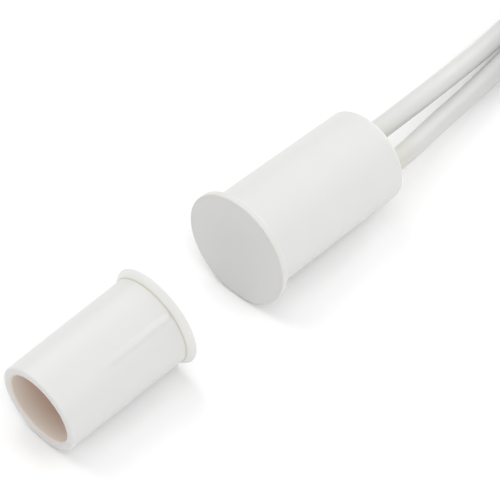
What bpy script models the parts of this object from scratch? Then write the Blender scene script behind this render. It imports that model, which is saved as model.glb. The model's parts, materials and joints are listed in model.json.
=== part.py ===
"""Magnetic door contact: a reed switch capsule with two leads, and its loose magnet capsule.

Both capsules are moulded to press into drilled holes. They lie on their sides, face to face
along Y, each on the rim of its flange and the edge of its tail. Metres, +Z up, surface at z = 0.
"""

import math

import bmesh
import bpy
import numpy as np
from mathutils import Matrix, Vector

MM = 0.001

# How the pair lies
FACE_GAP = 9.66 * MM
MAGNET_SIDESTEP = -0.23 * MM
MAGNET_YAW = math.radians(1.8)

# Switch capsule, sized for a 3/8 in hole
SWITCH_BODY_RADIUS = 4.81 * MM
SWITCH_LENGTH = 17.0 * MM
SWITCH_DRAFT = 0.18 * MM
SWITCH_WALL = 0.75 * MM
SWITCH_FACE_WALL = 0.8 * MM
SWITCH_FLANGE_LIP = 0.85 * MM
SWITCH_FLANGE_THICKNESS = 0.65 * MM
SWITCH_FACE_EDGE = 0.35 * MM
SWITCH_TAIL_EDGE = 0.3 * MM
SWITCH_ROOT_FILLET = 0.12 * MM

# Magnet capsule
MAGNET_BODY_RADIUS = 4.435 * MM
MAGNET_CAPSULE_LENGTH = 14.05 * MM
MAGNET_DRAFT = 0.07 * MM
MAGNET_WALL = 0.84 * MM
MAGNET_FACE_WALL = 0.8 * MM
MAGNET_FLANGE_LIP = 0.54 * MM
MAGNET_FLANGE_THICKNESS = 0.62 * MM
MAGNET_FACE_EDGE = 0.2 * MM
MAGNET_MOUTH_EDGE = 0.22 * MM
ROOT_GROOVE_WIDTH = 0.22 * MM
ROOT_GROOVE_DEPTH = 0.12 * MM
CRUSH_RIB_COUNT = 3
CRUSH_RIB_WIDTH = 0.62 * MM
CRUSH_RIB_HEIGHT = 0.2 * MM
CRUSH_RIB_REACH = 8.6 * MM
CRUSH_RIB_ANGLE = math.radians(56.5)

# Magnet and its glue
MAGNET_LENGTH = 7.0 * MM
MAGNET_CHAMFER = 0.3 * MM
GLUE_THICKNESS = 0.3 * MM
GLUE_RISE = 1.5 * MM

# Shared moulding details
FLANGE_BACK_EDGE = 0.1 * MM
BORE_DRAFT = 0.08 * MM
BORE_FLOOR_FILLET = 0.3 * MM
MOUTH_CHAMFER = 0.3 * MM

# Leads
LEAD_DIAMETER = 2.0 * MM
LEAD_LENGTH = 300.0 * MM
CORE_DIAMETER = 0.76 * MM
STRIPPED_LENGTH = 4.0 * MM
LEAD_A_SIDE = 1.15 * MM
LEAD_A_RISE = 0.2 * MM
LEAD_B_BEARING = math.radians(199)
LEAD_STRAIGHT = 1.0 * MM
LEAD_GRIP = 1.4 * MM
LEAD_SAMPLE = 2.4 * LEAD_DIAMETER

# Potting
POTTING_RECESS = 0.5 * MM
POTTING_SIDE_WALL = 0.45 * MM

# Solder joints
JOINT_LENGTH = 1.4 * MM
JOINT_WALL = 0.2 * MM
JOINT_SLEEVE_WALL = 0.15 * MM
JOINT_SLEEVE_LAP = 0.25 * MM
JOINT_SETBACK = 0.5 * MM

# Reed switch
REED_LEAD_DIAMETER = 0.5 * MM
REED_BEND_RADIUS = 0.6 * MM
REED_NECK_STRAIGHT = 0.3 * MM
GLASS_DIAMETER = 1.8 * MM
GLASS_WALL = 0.25 * MM
GLASS_SEAL = 1.6 * MM
GLASS_END_ROUND = 0.35 * MM
BLADE_WIDTH = 1.0 * MM
BLADE_THICKNESS = 0.2 * MM
BLADE_LAP = 1.0 * MM
BLADE_GAP = 0.12 * MM
BLADE_FLATTENING = 0.7 * MM
RETURN_SLEEVE_WALL = 0.2 * MM

# Clearances
FIT_CLEARANCE = 0.1 * MM
FINE_CLEARANCE = 0.05 * MM
BEND_CLEARANCE = 0.35 * MM
SEAT_GAP = 0.3 * MM

# Hank of the spare lead, and its tie. The length of its runs follows from the leads' length
HANK_LEFT_LANE_X = -4.0 * MM
HANK_START_Y = 52.6 * MM
HANK_LEAD_IN = 1.6 * MM
HANK_FOLD_RADIUS = 3.0 * LEAD_DIAMETER
HANK_PITCH = LEAD_DIAMETER + FINE_CLEARANCE
HANK_LAYERS = 3
HANK_END_INSET = 6.0 * MM
TIE_WIDTH = 2.4 * MM
TIE_THICKNESS = 0.45 * MM
TIE_HEAD = 3.4 * MM
TIE_HEAD_HEIGHT = 1.6 * MM

# Points that the free leads pass through between the housing and the hank
LEAD_A_ROUTE = [
    (-1.15, 23.4, 4.60),
    (-1.22, 26.4, 4.38),
    (-1.42, 30.8, 3.88),
    (-1.80, 34.2, 3.22),
    (-2.32, 38.5, 2.35),
    (-2.82, 42.3, 1.75),
    (-3.28, 45.0, 1.30),
    (-3.74, 48.4, 1.08),
]
LEAD_B_ROUTE = [
    (1.96, 24.4, 3.58),
    (1.17, 27.9, 2.88),
    (0.72, 31.3, 2.26),
    (0.27, 34.7, 1.74),
    (-0.15, 37.6, 1.36),
    (-0.55, 40.4, 1.10),
    (-0.86, 44.2, 1.04),
    (-1.36, 48.0, 1.04),
]

TURN_STEPS = 72
SMALL_STEPS = 24
SECTION_POINTS = 12

WHITE_PLASTIC = ("white_plastic", (0.87, 0.87, 0.86), 0.42, 0.0)
LEAD_PVC = ("lead_pvc", (0.82, 0.81, 0.77), 0.38, 0.0)
RESIN = ("potting_resin", (0.80, 0.78, 0.72), 0.35, 0.0)
RUBBER = ("cushion_rubber", (0.72, 0.70, 0.66), 0.7, 0.0)
GLASS = ("reed_glass", (0.55, 0.70, 0.62), 0.05, 0.0)
REED_METAL = ("reed_alloy", (0.62, 0.60, 0.56), 0.3, 1.0)
SOLDER = ("solder", (0.66, 0.66, 0.67), 0.35, 1.0)
TINNED_COPPER = ("tinned_copper", (0.72, 0.71, 0.69), 0.35, 1.0)
SLEEVING = ("sleeving", (0.12, 0.12, 0.13), 0.6, 0.0)
MAGNET_METAL = ("magnet_alloy", (0.20, 0.20, 0.21), 0.45, 1.0)
GLUE = ("magnet_glue", (0.62, 0.52, 0.36), 0.3, 0.0)
TIE_PLASTIC = ("tie_plastic", (0.84, 0.84, 0.82), 0.45, 0.0)


def clear_scene():
    for obj in list(bpy.data.objects):
        bpy.data.objects.remove(obj, do_unlink=True)


def material_for(finish):
    """The Principled material of a (name, colour, roughness, metallic) finish, made once."""
    name, colour, roughness, metallic = finish
    found = bpy.data.materials.get(name)
    if found:
        return found
    made = bpy.data.materials.new(name)
    made.use_nodes = True
    shader = made.node_tree.nodes["Principled BSDF"]
    shader.inputs["Base Color"].default_value = (*colour, 1.0)
    shader.inputs["Roughness"].default_value = roughness
    shader.inputs["Metallic"].default_value = metallic
    made.diffuse_color = (*colour, 1.0)
    return made


def new_object(name, bm, finish, parent=None):
    """An object from a bmesh, shaded smooth with its real edges kept sharp."""
    bmesh.ops.recalc_face_normals(bm, faces=bm.faces)
    mesh = bpy.data.meshes.new(name)
    bm.to_mesh(mesh)
    bm.free()
    mesh.shade_smooth()
    mesh.set_sharp_from_angle(angle=math.radians(35))
    mesh.materials.append(material_for(finish))
    obj = bpy.data.objects.new(name, mesh)
    bpy.context.scene.collection.objects.link(obj)
    obj.parent = parent
    return obj


def frame_empty(name, matrix, parent=None):
    empty = bpy.data.objects.new(name, None)
    bpy.context.scene.collection.objects.link(empty)
    empty.parent = parent
    empty.matrix_local = matrix
    return empty


def arc(centre, radius, start, end, steps):
    """Points of a rounding in the (radius, height) plane, angles in degrees."""
    angles = [math.radians(start + (end - start) * i / steps) for i in range(steps + 1)]
    return [(centre[0] + radius * math.cos(a), centre[1] + radius * math.sin(a)) for a in angles]


def turned(name, outline, finish, parent=None, steps=TURN_STEPS, at=(0.0, 0.0)):
    """A turned solid. The outline is (radius, height) points, and closes on itself off the axis."""
    bm = bmesh.new()
    verts = [bm.verts.new((r, 0.0, h)) for r, h in outline]
    on_axis = outline[0][0] == 0.0
    pairs = list(zip(verts, verts[1:])) + ([] if on_axis else [(verts[-1], verts[0])])
    edges = [bm.edges.new(pair) for pair in pairs]
    bmesh.ops.spin(
        bm, geom=verts + edges, axis=(0, 0, 1), cent=(0, 0, 0), dvec=(0, 0, 0),
        angle=math.tau, steps=steps, use_merge=True, use_duplicate=False,
    )
    bmesh.ops.remove_doubles(bm, verts=bm.verts, dist=1e-4 * MM)
    bmesh.ops.translate(bm, verts=bm.verts, vec=(*at, 0.0))
    return new_object(name, bm, finish, parent)


def tube_outline(inner, outer, start, end):
    return [(inner, start), (outer, start), (outer, end), (inner, end)]


def rod_outline(radius, start, end, chamfer=0.0):
    if not chamfer:
        return [(0.0, start), (radius, start), (radius, end), (0.0, end)]
    return [
        (0.0, start), (radius - chamfer, start), (radius, start + chamfer),
        (radius, end - chamfer), (radius - chamfer, end), (0.0, end),
    ]


def cutter(name, outline, parent, at=(0.0, 0.0), steps=SMALL_STEPS):
    """A turned helper that a Boolean takes away."""
    helper = turned(name, outline, WHITE_PLASTIC, parent, steps, at)
    helper.hide_render = True
    helper.display_type = "WIRE"
    return helper


def boolean(obj, operation, helper):
    modifier = obj.modifiers.new(f"{operation.lower()}_{helper.name}", "BOOLEAN")
    modifier.operation = operation
    modifier.object = helper
    return modifier


def rest_droop(flange_radius, flange_end, flange_edge, tail_radius, tail_end, tail_edge):
    """The angle at which a capsule lies on its flange's back edge and its tail's edge."""
    along = (tail_end - tail_edge) - (flange_end - flange_edge)
    drop = (flange_radius - flange_edge) - (tail_radius - tail_edge)
    return math.atan2(drop, along) + math.asin((flange_edge - tail_edge) / math.hypot(along, drop))


def lying_matrix(face_x, face_y, yaw, droop, flange_radius, flange_end, flange_edge):
    """Local Z runs from the capsule's face to its tail, and local Y points up, at rest on z = 0."""
    face_z = (
        flange_edge
        + (flange_radius - flange_edge) * math.cos(droop)
        + (flange_end - flange_edge) * math.sin(droop)
    )
    along = Vector((0.0, math.cos(droop), -math.sin(droop)))
    up = Vector((0.0, math.sin(droop), math.cos(droop)))
    side = up.cross(along)
    turn = Matrix((side, up, along)).transposed().to_4x4()
    return Matrix.Translation((face_x, face_y, face_z)) @ Matrix.Rotation(yaw, 4, "Z") @ turn


SWITCH_FLANGE_RADIUS = SWITCH_BODY_RADIUS + SWITCH_FLANGE_LIP
SWITCH_TAIL_RADIUS = SWITCH_BODY_RADIUS - SWITCH_DRAFT
SWITCH_BORE_RADIUS = SWITCH_TAIL_RADIUS - SWITCH_WALL
MAGNET_FLANGE_RADIUS = MAGNET_BODY_RADIUS + MAGNET_FLANGE_LIP
MAGNET_TAIL_RADIUS = MAGNET_BODY_RADIUS - MAGNET_DRAFT
MAGNET_BORE_RADIUS = MAGNET_TAIL_RADIUS - MAGNET_WALL

SWITCH_DROOP = rest_droop(
    SWITCH_FLANGE_RADIUS, SWITCH_FLANGE_THICKNESS, FLANGE_BACK_EDGE,
    SWITCH_TAIL_RADIUS, SWITCH_LENGTH, SWITCH_TAIL_EDGE,
)
MAGNET_DROOP = rest_droop(
    MAGNET_FLANGE_RADIUS, MAGNET_FLANGE_THICKNESS, FLANGE_BACK_EDGE,
    MAGNET_TAIL_RADIUS, MAGNET_CAPSULE_LENGTH, MAGNET_MOUTH_EDGE,
)

# The frame's origin is under the middle of the pair's length
SWITCH_FACE_Y = (MAGNET_CAPSULE_LENGTH + FACE_GAP - SWITCH_LENGTH) / 2
SWITCH_MATRIX = lying_matrix(
    0.0, SWITCH_FACE_Y, 0.0, SWITCH_DROOP,
    SWITCH_FLANGE_RADIUS, SWITCH_FLANGE_THICKNESS, FLANGE_BACK_EDGE,
)
MAGNET_MATRIX = lying_matrix(
    MAGNET_SIDESTEP, SWITCH_FACE_Y - FACE_GAP, math.pi - MAGNET_YAW, MAGNET_DROOP,
    MAGNET_FLANGE_RADIUS, MAGNET_FLANGE_THICKNESS, FLANGE_BACK_EDGE,
)

# Heights along the switch's axis, from its face (0) to its tail, worked back from the tail
POTTING_BACK = SWITCH_LENGTH - POTTING_RECESS
LEAD_START = POTTING_BACK - LEAD_GRIP
JOINT_END = LEAD_START - JOINT_SETBACK
JOINT_START = JOINT_END - JOINT_LENGTH
JOINT_MIDDLE = (JOINT_START + JOINT_END) / 2
POTTING_FRONT = JOINT_START - JOINT_SLEEVE_LAP - FIT_CLEARANCE
GLASS_END = POTTING_FRONT - SEAT_GAP
REED_CROSSING = SWITCH_FACE_WALL + BEND_CLEARANCE + REED_LEAD_DIAMETER / 2
GLASS_START = REED_CROSSING + REED_BEND_RADIUS + REED_NECK_STRAIGHT
GLASS_LENGTH = GLASS_END - GLASS_START
BLADE_MIDDLE = (GLASS_START + GLASS_END) / 2

LEAD_RADIUS = LEAD_DIAMETER / 2
CORE_RADIUS = CORE_DIAMETER / 2
REED_LEAD_RADIUS = REED_LEAD_DIAMETER / 2
GLASS_RADIUS = GLASS_DIAMETER / 2
LEAD_HOLE_RADIUS = LEAD_RADIUS + FIT_CLEARANCE
RETURN_SLEEVE_RADIUS = REED_LEAD_RADIUS + FINE_CLEARANCE + RETURN_SLEEVE_WALL

# Where the two leads stand in the switch's cross-section
LEAD_A_AT = (LEAD_A_SIDE, LEAD_A_RISE)
LEAD_B_REACH = SWITCH_BORE_RADIUS - FIT_CLEARANCE - POTTING_SIDE_WALL - LEAD_HOLE_RADIUS
LEAD_B_AT = (LEAD_B_REACH * math.cos(LEAD_B_BEARING), LEAD_B_REACH * math.sin(LEAD_B_BEARING))
REED_SPAN = math.dist(LEAD_A_AT, LEAD_B_AT)
REED_TURN = math.atan2(LEAD_B_AT[1] - LEAD_A_AT[1], LEAD_B_AT[0] - LEAD_A_AT[0])


def bore_radius(height, mouth_radius, length, floor):
    """A moulded bore's radius, which narrows by its draft from the mouth to the floor."""
    share = (length - height) / (length - floor)
    return mouth_radius - BORE_DRAFT * share


def capsule_outline(flange_radius, thickness, root, body, tail, length, bore, floor, face_edge, tail_edge):
    """Outline of a flanged cup, from its face on the axis, round the tail and into the bore."""
    floor_radius = bore - BORE_DRAFT
    back = (flange_radius - FLANGE_BACK_EDGE, thickness - FLANGE_BACK_EDGE)
    points = [(0.0, 0.0)]
    points += arc((flange_radius - face_edge, face_edge), face_edge, -90, 0, 4)
    points += arc(back, FLANGE_BACK_EDGE, 0, 90, 2)
    points += root(body, thickness)
    points += arc((tail - tail_edge, length - tail_edge), tail_edge, 0, 90, 4)
    points += [(bore + MOUTH_CHAMFER, length), (bore, length - MOUTH_CHAMFER)]
    points += arc(
        (floor_radius - BORE_FLOOR_FILLET, floor + BORE_FLOOR_FILLET), BORE_FLOOR_FILLET, 0, -90, 3
    )
    return points + [(0.0, floor)]


def fillet_root(body, thickness):
    """The switch's body meets its flange in a small fillet."""
    centre = (body + SWITCH_ROOT_FILLET, thickness + SWITCH_ROOT_FILLET)
    return arc(centre, SWITCH_ROOT_FILLET, -90, -180, 3)


def grooved_root(body, thickness):
    """The magnet's body has a fine relief groove under its flange, so that the flange seats flat."""
    deep = body - ROOT_GROOVE_DEPTH
    slope = ROOT_GROOVE_WIDTH / 4
    return [
        (body, thickness), (deep, thickness + slope),
        (deep, thickness + ROOT_GROOVE_WIDTH - slope), (body, thickness + ROOT_GROOVE_WIDTH),
    ]


def make_switch_housing(frame):
    outline = capsule_outline(
        SWITCH_FLANGE_RADIUS, SWITCH_FLANGE_THICKNESS, fillet_root, SWITCH_BODY_RADIUS,
        SWITCH_TAIL_RADIUS, SWITCH_LENGTH, SWITCH_BORE_RADIUS, SWITCH_FACE_WALL,
        SWITCH_FACE_EDGE, SWITCH_TAIL_EDGE,
    )
    turned("switch_housing", outline, WHITE_PLASTIC, frame)


def make_potting(frame):
    """The resin that closes the tail, cast round both leads and their joints."""
    front = bore_radius(POTTING_FRONT, SWITCH_BORE_RADIUS, SWITCH_LENGTH, SWITCH_FACE_WALL)
    back = bore_radius(POTTING_BACK, SWITCH_BORE_RADIUS, SWITCH_LENGTH, SWITCH_FACE_WALL)
    outline = [
        (0.0, POTTING_FRONT), (front - FIT_CLEARANCE, POTTING_FRONT),
        (back - FIT_CLEARANCE, POTTING_BACK), (0.0, POTTING_BACK),
    ]
    resin = turned("potting_resin", outline, RESIN, frame, 48)
    for name, at in (("a", LEAD_A_AT), ("b", LEAD_B_AT)):
        hole = rod_outline(LEAD_HOLE_RADIUS, POTTING_FRONT - SEAT_GAP, POTTING_BACK + SEAT_GAP)
        boolean(resin, "DIFFERENCE", cutter(f"lead_{name}_hole", hole, frame, at))


def make_cushion(frame):
    """The rubber cushion that holds the reed switch and the returned reed lead in the bore."""
    start = GLASS_START + GLASS_END_ROUND
    end = GLASS_END - GLASS_END_ROUND
    narrow = bore_radius(start, SWITCH_BORE_RADIUS, SWITCH_LENGTH, SWITCH_FACE_WALL)
    outline = rod_outline(narrow - FIT_CLEARANCE, start, end, 2 * FIT_CLEARANCE)
    cushion = turned("reed_cushion", outline, RUBBER, frame, 48)
    for name, radius, at in (
        ("glass", GLASS_RADIUS, LEAD_A_AT),
        ("return", RETURN_SLEEVE_RADIUS, LEAD_B_AT),
    ):
        hole = rod_outline(radius + FINE_CLEARANCE, start - SEAT_GAP, end + SEAT_GAP)
        boolean(cushion, "DIFFERENCE", cutter(f"{name}_hole", hole, frame, at))


def make_glass(frame):
    """The reed switch's glass tube, drawn in round both reed leads at its ends."""
    neck = REED_LEAD_RADIUS + FINE_CLEARANCE
    bore = GLASS_RADIUS - GLASS_WALL
    cone = bore - neck
    end_round = GLASS_END_ROUND
    start, end = GLASS_START, GLASS_END
    outline = [(neck, start)]
    outline += arc((GLASS_RADIUS - end_round, start + end_round), end_round, -90, 0, 4)
    outline += arc((GLASS_RADIUS - end_round, end - end_round), end_round, 0, 90, 4)
    outline += [
        (neck, end), (neck, end - GLASS_SEAL), (bore, end - GLASS_SEAL - cone),
        (bore, start + GLASS_SEAL + cone), (neck, start + GLASS_SEAL),
    ]
    turned("reed_glass", outline, GLASS, frame, SMALL_STEPS)


def reed_section(bm, centre, heading, half_width, half_thickness):
    """A ring of points across a reed. Round where both halves are equal, flat-sided where not."""
    across = Vector((math.cos(heading), 0.0, -math.sin(heading)))
    power = 1.0 if half_width == half_thickness else 0.3
    ring = []
    for i in range(SECTION_POINTS):
        angle = math.tau * (i + 0.5) / SECTION_POINTS
        c, s = math.cos(angle), math.sin(angle)
        wide = half_width * math.copysign(abs(c) ** power, c)
        thick = half_thickness * math.copysign(abs(s) ** power, s)
        ring.append(bm.verts.new(Vector(centre) + across * wide + Vector((0.0, thick, 0.0))))
    return ring


def make_reed(name, stations, frame):
    """One reed: a round wire stamped flat inside the glass, lofted through its stations."""
    bm = bmesh.new()
    rings = [reed_section(bm, *station) for station in stations]
    for low, high in zip(rings, rings[1:]):
        for i in range(SECTION_POINTS):
            j = (i + 1) % SECTION_POINTS
            bm.faces.new((low[i], low[j], high[j], high[i]))
    bm.faces.new(rings[0])
    bm.faces.new(rings[-1])
    new_object(name, bm, REED_METAL, frame)


def blade_stations(tip, root, offset):
    """From the tip of a flat blade to the round wire in its seal. The blade stands off the axis."""
    away = math.copysign(1.0, root - tip)
    flat = (0.0, BLADE_WIDTH / 2, BLADE_THICKNESS / 2)
    round_wire = (0.0, REED_LEAD_RADIUS, REED_LEAD_RADIUS)
    flat_end = root - away * BLADE_FLATTENING
    step_end = flat_end - away * BLADE_FLATTENING
    return [
        ((0.0, offset, tip), *flat),
        ((0.0, offset, step_end), *flat),
        ((0.0, offset / 2, flat_end), *flat),
        ((0.0, 0.0, root), *round_wire),
    ]


def make_reeds(frame):
    """Both reeds. The front one turns back past the glass, so that both leads leave at the tail."""
    wire = (REED_LEAD_RADIUS, REED_LEAD_RADIUS)
    offset = (BLADE_GAP + BLADE_THICKNESS) / 2
    rear_root = GLASS_END - GLASS_SEAL
    rear_tip = BLADE_MIDDLE - BLADE_LAP / 2
    wire_end = JOINT_MIDDLE - FINE_CLEARANCE
    rear = blade_stations(rear_tip, rear_root, -offset)
    rear.append(((0.0, 0.0, wire_end), 0.0, *wire))
    make_reed("rear_reed", rear, frame)

    front_root = GLASS_START + GLASS_SEAL
    front_tip = BLADE_MIDDLE + BLADE_LAP / 2
    front = blade_stations(front_tip, front_root, offset)
    bend_start = REED_CROSSING + REED_BEND_RADIUS
    steps = 4
    for corner, first in ((REED_BEND_RADIUS, 0.0), (REED_SPAN - REED_BEND_RADIUS, math.pi / 2)):
        for i in range(steps + 1):
            turn = first + math.pi / 2 * i / steps
            centre = (
                corner - REED_BEND_RADIUS * math.cos(turn), 0.0,
                bend_start - REED_BEND_RADIUS * math.sin(turn),
            )
            front.append((centre, -turn, *wire))
    front.append(((REED_SPAN, 0.0, wire_end), -math.pi, *wire))
    make_reed("front_reed", front, frame)

    sleeve = tube_outline(
        REED_LEAD_RADIUS + FINE_CLEARANCE, RETURN_SLEEVE_RADIUS, bend_start + FIT_CLEARANCE,
        POTTING_FRONT - FIT_CLEARANCE,
    )
    turned("return_sleeve", sleeve, SLEEVING, frame, SMALL_STEPS, (REED_SPAN, 0.0))


def make_joint(letter, at, frame):
    """A lead's inner end: its bare core, the solder joint to the reed, and the sleeve over it."""
    outer = CORE_RADIUS + FINE_CLEARANCE + JOINT_WALL
    reed_hole = REED_LEAD_RADIUS + FINE_CLEARANCE
    core_hole = CORE_RADIUS + FINE_CLEARANCE
    taper = JOINT_WALL / 2
    solder = [
        (reed_hole, JOINT_START), (outer - taper, JOINT_START), (outer, JOINT_START + 2 * taper),
        (outer, JOINT_END - 2 * taper), (outer - taper, JOINT_END), (core_hole, JOINT_END),
        (core_hole, JOINT_MIDDLE), (reed_hole, JOINT_MIDDLE - FINE_CLEARANCE),
    ]
    turned(f"solder_joint_{letter}", solder, SOLDER, frame, 16, at)
    core = rod_outline(CORE_RADIUS, JOINT_MIDDLE + FINE_CLEARANCE, LEAD_START - FINE_CLEARANCE)
    turned(f"lead_{letter}_core", core, TINNED_COPPER, frame, 16, at)
    sleeve_bore = outer + FINE_CLEARANCE
    sleeve = tube_outline(
        sleeve_bore, sleeve_bore + JOINT_SLEEVE_WALL, JOINT_START - JOINT_SLEEVE_LAP,
        JOINT_END + JOINT_SLEEVE_LAP,
    )
    turned(f"joint_sleeve_{letter}", sleeve, SLEEVING, frame, 20, at)


def make_crush_rib(number, frame):
    """A rib that is full at the flange and runs out into the body's draft towards the mouth."""
    width, height = CRUSH_RIB_WIDTH / 2, CRUSH_RIB_HEIGHT
    start = MAGNET_FLANGE_THICKNESS + ROOT_GROOVE_WIDTH - FINE_CLEARANCE
    end = MAGNET_FLANGE_THICKNESS + CRUSH_RIB_REACH
    sunk = MAGNET_BODY_RADIUS - MAGNET_DRAFT - MAGNET_WALL / 2
    section = [(-width, 0.0), (-width * 0.72, 0.8), (-width * 0.3, 1.0)]
    section += [(-side, lift) for side, lift in reversed(section)]
    bm = bmesh.new()
    rings = []
    for z, lift, base in (
        (start, height, MAGNET_BODY_RADIUS - 0.2 * height),
        (end, -0.2 * height, MAGNET_BODY_RADIUS - 0.2 * height),
    ):
        ring = [bm.verts.new((sunk, side, z)) for side in (-width, width)]
        ring += [bm.verts.new((base + max(lift, 0) * up + min(lift, 0), side, z))
                 for side, up in reversed(section)]
        rings.append(ring)
    count = len(rings[0])
    for i in range(count):
        j = (i + 1) % count
        bm.faces.new((rings[0][i], rings[0][j], rings[1][j], rings[1][i]))
    for ring in rings:
        bm.faces.new(ring)
    rib = new_object(f"crush_rib_{number}", bm, WHITE_PLASTIC, frame)
    rib.rotation_euler.z = CRUSH_RIB_ANGLE + math.tau * number / CRUSH_RIB_COUNT
    rib.hide_render = True
    rib.display_type = "WIRE"
    return rib


def make_magnet_housing(frame):
    outline = capsule_outline(
        MAGNET_FLANGE_RADIUS, MAGNET_FLANGE_THICKNESS, grooved_root, MAGNET_BODY_RADIUS,
        MAGNET_TAIL_RADIUS, MAGNET_CAPSULE_LENGTH, MAGNET_BORE_RADIUS, MAGNET_FACE_WALL,
        MAGNET_FACE_EDGE, MAGNET_MOUTH_EDGE,
    )
    housing = turned("magnet_housing", outline, WHITE_PLASTIC, frame)
    for number in range(CRUSH_RIB_COUNT):
        boolean(housing, "UNION", make_crush_rib(number, frame))


def make_magnet(frame):
    """The magnet in a cup of glue on the floor of the bore."""
    floor_radius = MAGNET_BORE_RADIUS - BORE_DRAFT
    cup_radius = floor_radius - FINE_CLEARANCE
    magnet_radius = cup_radius - GLUE_THICKNESS
    glue_floor = MAGNET_FACE_WALL + FINE_CLEARANCE
    seat = glue_floor + GLUE_THICKNESS
    rise = seat + GLUE_RISE
    inner = magnet_radius + FINE_CLEARANCE
    glue = [
        (0.0, glue_floor), (cup_radius - BORE_FLOOR_FILLET, glue_floor),
        (cup_radius, glue_floor + BORE_FLOOR_FILLET), (cup_radius, rise),
        (inner, rise - GLUE_THICKNESS), (inner, seat), (0.0, seat),
    ]
    turned("magnet_glue", glue, GLUE, frame, 40)
    start = seat + FINE_CLEARANCE
    rod = rod_outline(magnet_radius, start, start + MAGNET_LENGTH, MAGNET_CHAMFER)
    turned("magnet", rod, MAGNET_METAL, frame, 40)


def smooth_curve(points):
    """Close points on a centripetal Catmull-Rom curve, and the length that each lies along it."""
    given = np.array(points, float)
    ends = [2 * given[0] - given[1], 2 * given[-1] - given[-2]]
    knots = np.vstack([ends[0], given, ends[1]])
    dense = []
    for p0, p1, p2, p3 in zip(knots, knots[1:], knots[2:], knots[3:]):
        t0 = 0.0
        t1 = t0 + math.sqrt(np.linalg.norm(p1 - p0))
        t2 = t1 + math.sqrt(np.linalg.norm(p2 - p1))
        t3 = t2 + math.sqrt(np.linalg.norm(p3 - p2))
        t = np.linspace(t1, t2, 40, endpoint=False)[:, None]
        a1 = (t1 - t) / (t1 - t0) * p0 + (t - t0) / (t1 - t0) * p1
        a2 = (t2 - t) / (t2 - t1) * p1 + (t - t1) / (t2 - t1) * p2
        a3 = (t3 - t) / (t3 - t2) * p2 + (t - t2) / (t3 - t2) * p3
        b1 = (t2 - t) / (t2 - t0) * a1 + (t - t0) / (t2 - t0) * a2
        b2 = (t3 - t) / (t3 - t1) * a2 + (t - t1) / (t3 - t1) * a3
        dense.append((t2 - t) / (t2 - t1) * b1 + (t - t1) / (t2 - t1) * b2)
    curve = np.vstack([*dense, given[-1]])
    steps = np.linalg.norm(np.diff(curve, axis=0), axis=1)
    return curve, np.concatenate([[0.0], np.cumsum(steps)])


def spaced(curve, run, end, spacing):
    """Evenly spaced points from the curve's start to the given length along it."""
    marks = np.linspace(0.0, end, max(2, round(end / spacing) + 1))
    return np.column_stack([np.interp(marks, run, curve[:, k]) for k in range(3)])


def tube_along(name, points, radius, finish):
    """A plain round tube with filled ends along the points."""
    curve = bpy.data.curves.new(name, "CURVE")
    curve.dimensions = "3D"
    curve.bevel_depth = radius
    curve.bevel_resolution = 2
    curve.use_fill_caps = True
    spline = curve.splines.new("POLY")
    spline.points.add(len(points) - 1)
    for point, place in zip(spline.points, points):
        point.co = (*place, 1.0)
    curve.materials.append(material_for(finish))
    obj = bpy.data.objects.new(name, curve)
    bpy.context.scene.collection.objects.link(obj)
    return obj


def lead_route(at, route, lane_x):
    """A lead's points: straight out of the resin, the chosen ones, and straight into the hank."""
    heights = (LEAD_START, SWITCH_LENGTH, SWITCH_LENGTH + LEAD_STRAIGHT)
    inside = [tuple(SWITCH_MATRIX @ Vector((*at, height))) for height in heights]
    chosen = [tuple(c * MM for c in point) for point in route]
    starts = (HANK_START_Y - HANK_LEAD_IN, HANK_START_Y)
    return inside + chosen + [(lane_x, y, LEAD_RADIUS + FINE_CLEARANCE) for y in starts]


class Hank:
    """Where the spare lead lies: both leads side by side in long turns, layer on layer.

    A turn goes along the left run, round the far fold, back along the right run and round the
    near fold, where it climbs one pitch. Lead A has the outer lane and lead B the inner one. The
    runs are just so long that lead A ends a little before the left run's end, in the top layer.
    """

    def __init__(self, spare):
        self.radii = {"a": HANK_FOLD_RADIUS + HANK_PITCH, "b": HANK_FOLD_RADIUS}
        self.centre_x = HANK_LEFT_LANE_X + self.radii["a"]
        whole_turns = HANK_LAYERS - 1
        folds = whole_turns * math.tau * self.radii["a"]
        self.run = (spare + HANK_END_INSET - folds) / (2 * whole_turns + 1)
        self.outer = self.radii["a"] + LEAD_RADIUS + FINE_CLEARANCE
        self.inner = self.radii["b"] - LEAD_RADIUS - FINE_CLEARANCE
        self.top = HANK_LAYERS * HANK_PITCH + FINE_CLEARANCE
        self.tie_x = self.centre_x - (self.outer + self.inner) / 2
        self.tie_y = HANK_START_Y + self.run / 2

    def end_of(self, letter, spare):
        """Where a lead is stripped, and which way it points there."""
        radius = self.radii[letter]
        turns, along = divmod(spare, 2 * self.run + math.tau * radius)
        height = LEAD_RADIUS + FINE_CLEARANCE + turns * HANK_PITCH
        turned = min(max(along - self.run, 0.0), math.pi * radius) / radius
        back = max(along - self.run - math.pi * radius, 0.0)
        outward = Vector((-math.cos(turned), math.sin(turned), 0.0))
        onward = Vector((math.sin(turned), math.cos(turned), 0.0))
        middle = Vector((self.centre_x, HANK_START_Y + min(along, self.run) - back, height))
        return middle + radius * outward, onward


def spare_length(curve, run):
    """What a lead has left for the hank, from where it reaches the hank to where it's stripped."""
    outside = run[-1] - (SWITCH_LENGTH - LEAD_START)
    return LEAD_LENGTH - STRIPPED_LENGTH - outside


def make_lead(letter, curve, run, hank):
    """The stretch of a lead that isn't in the hank, as a tube that ends beside it."""
    nearest_side = curve[:, :2] + np.array((LEAD_RADIUS, 0.0))
    reach = np.linalg.norm(nearest_side - np.array((hank.centre_x, HANK_START_Y)), axis=1)
    end = run[int(np.argmax(reach < hank.outer + SEAT_GAP))]
    tube_along(f"lead_{letter}", spaced(curve, run, end, LEAD_SAMPLE), LEAD_RADIUS, LEAD_PVC)


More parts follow.
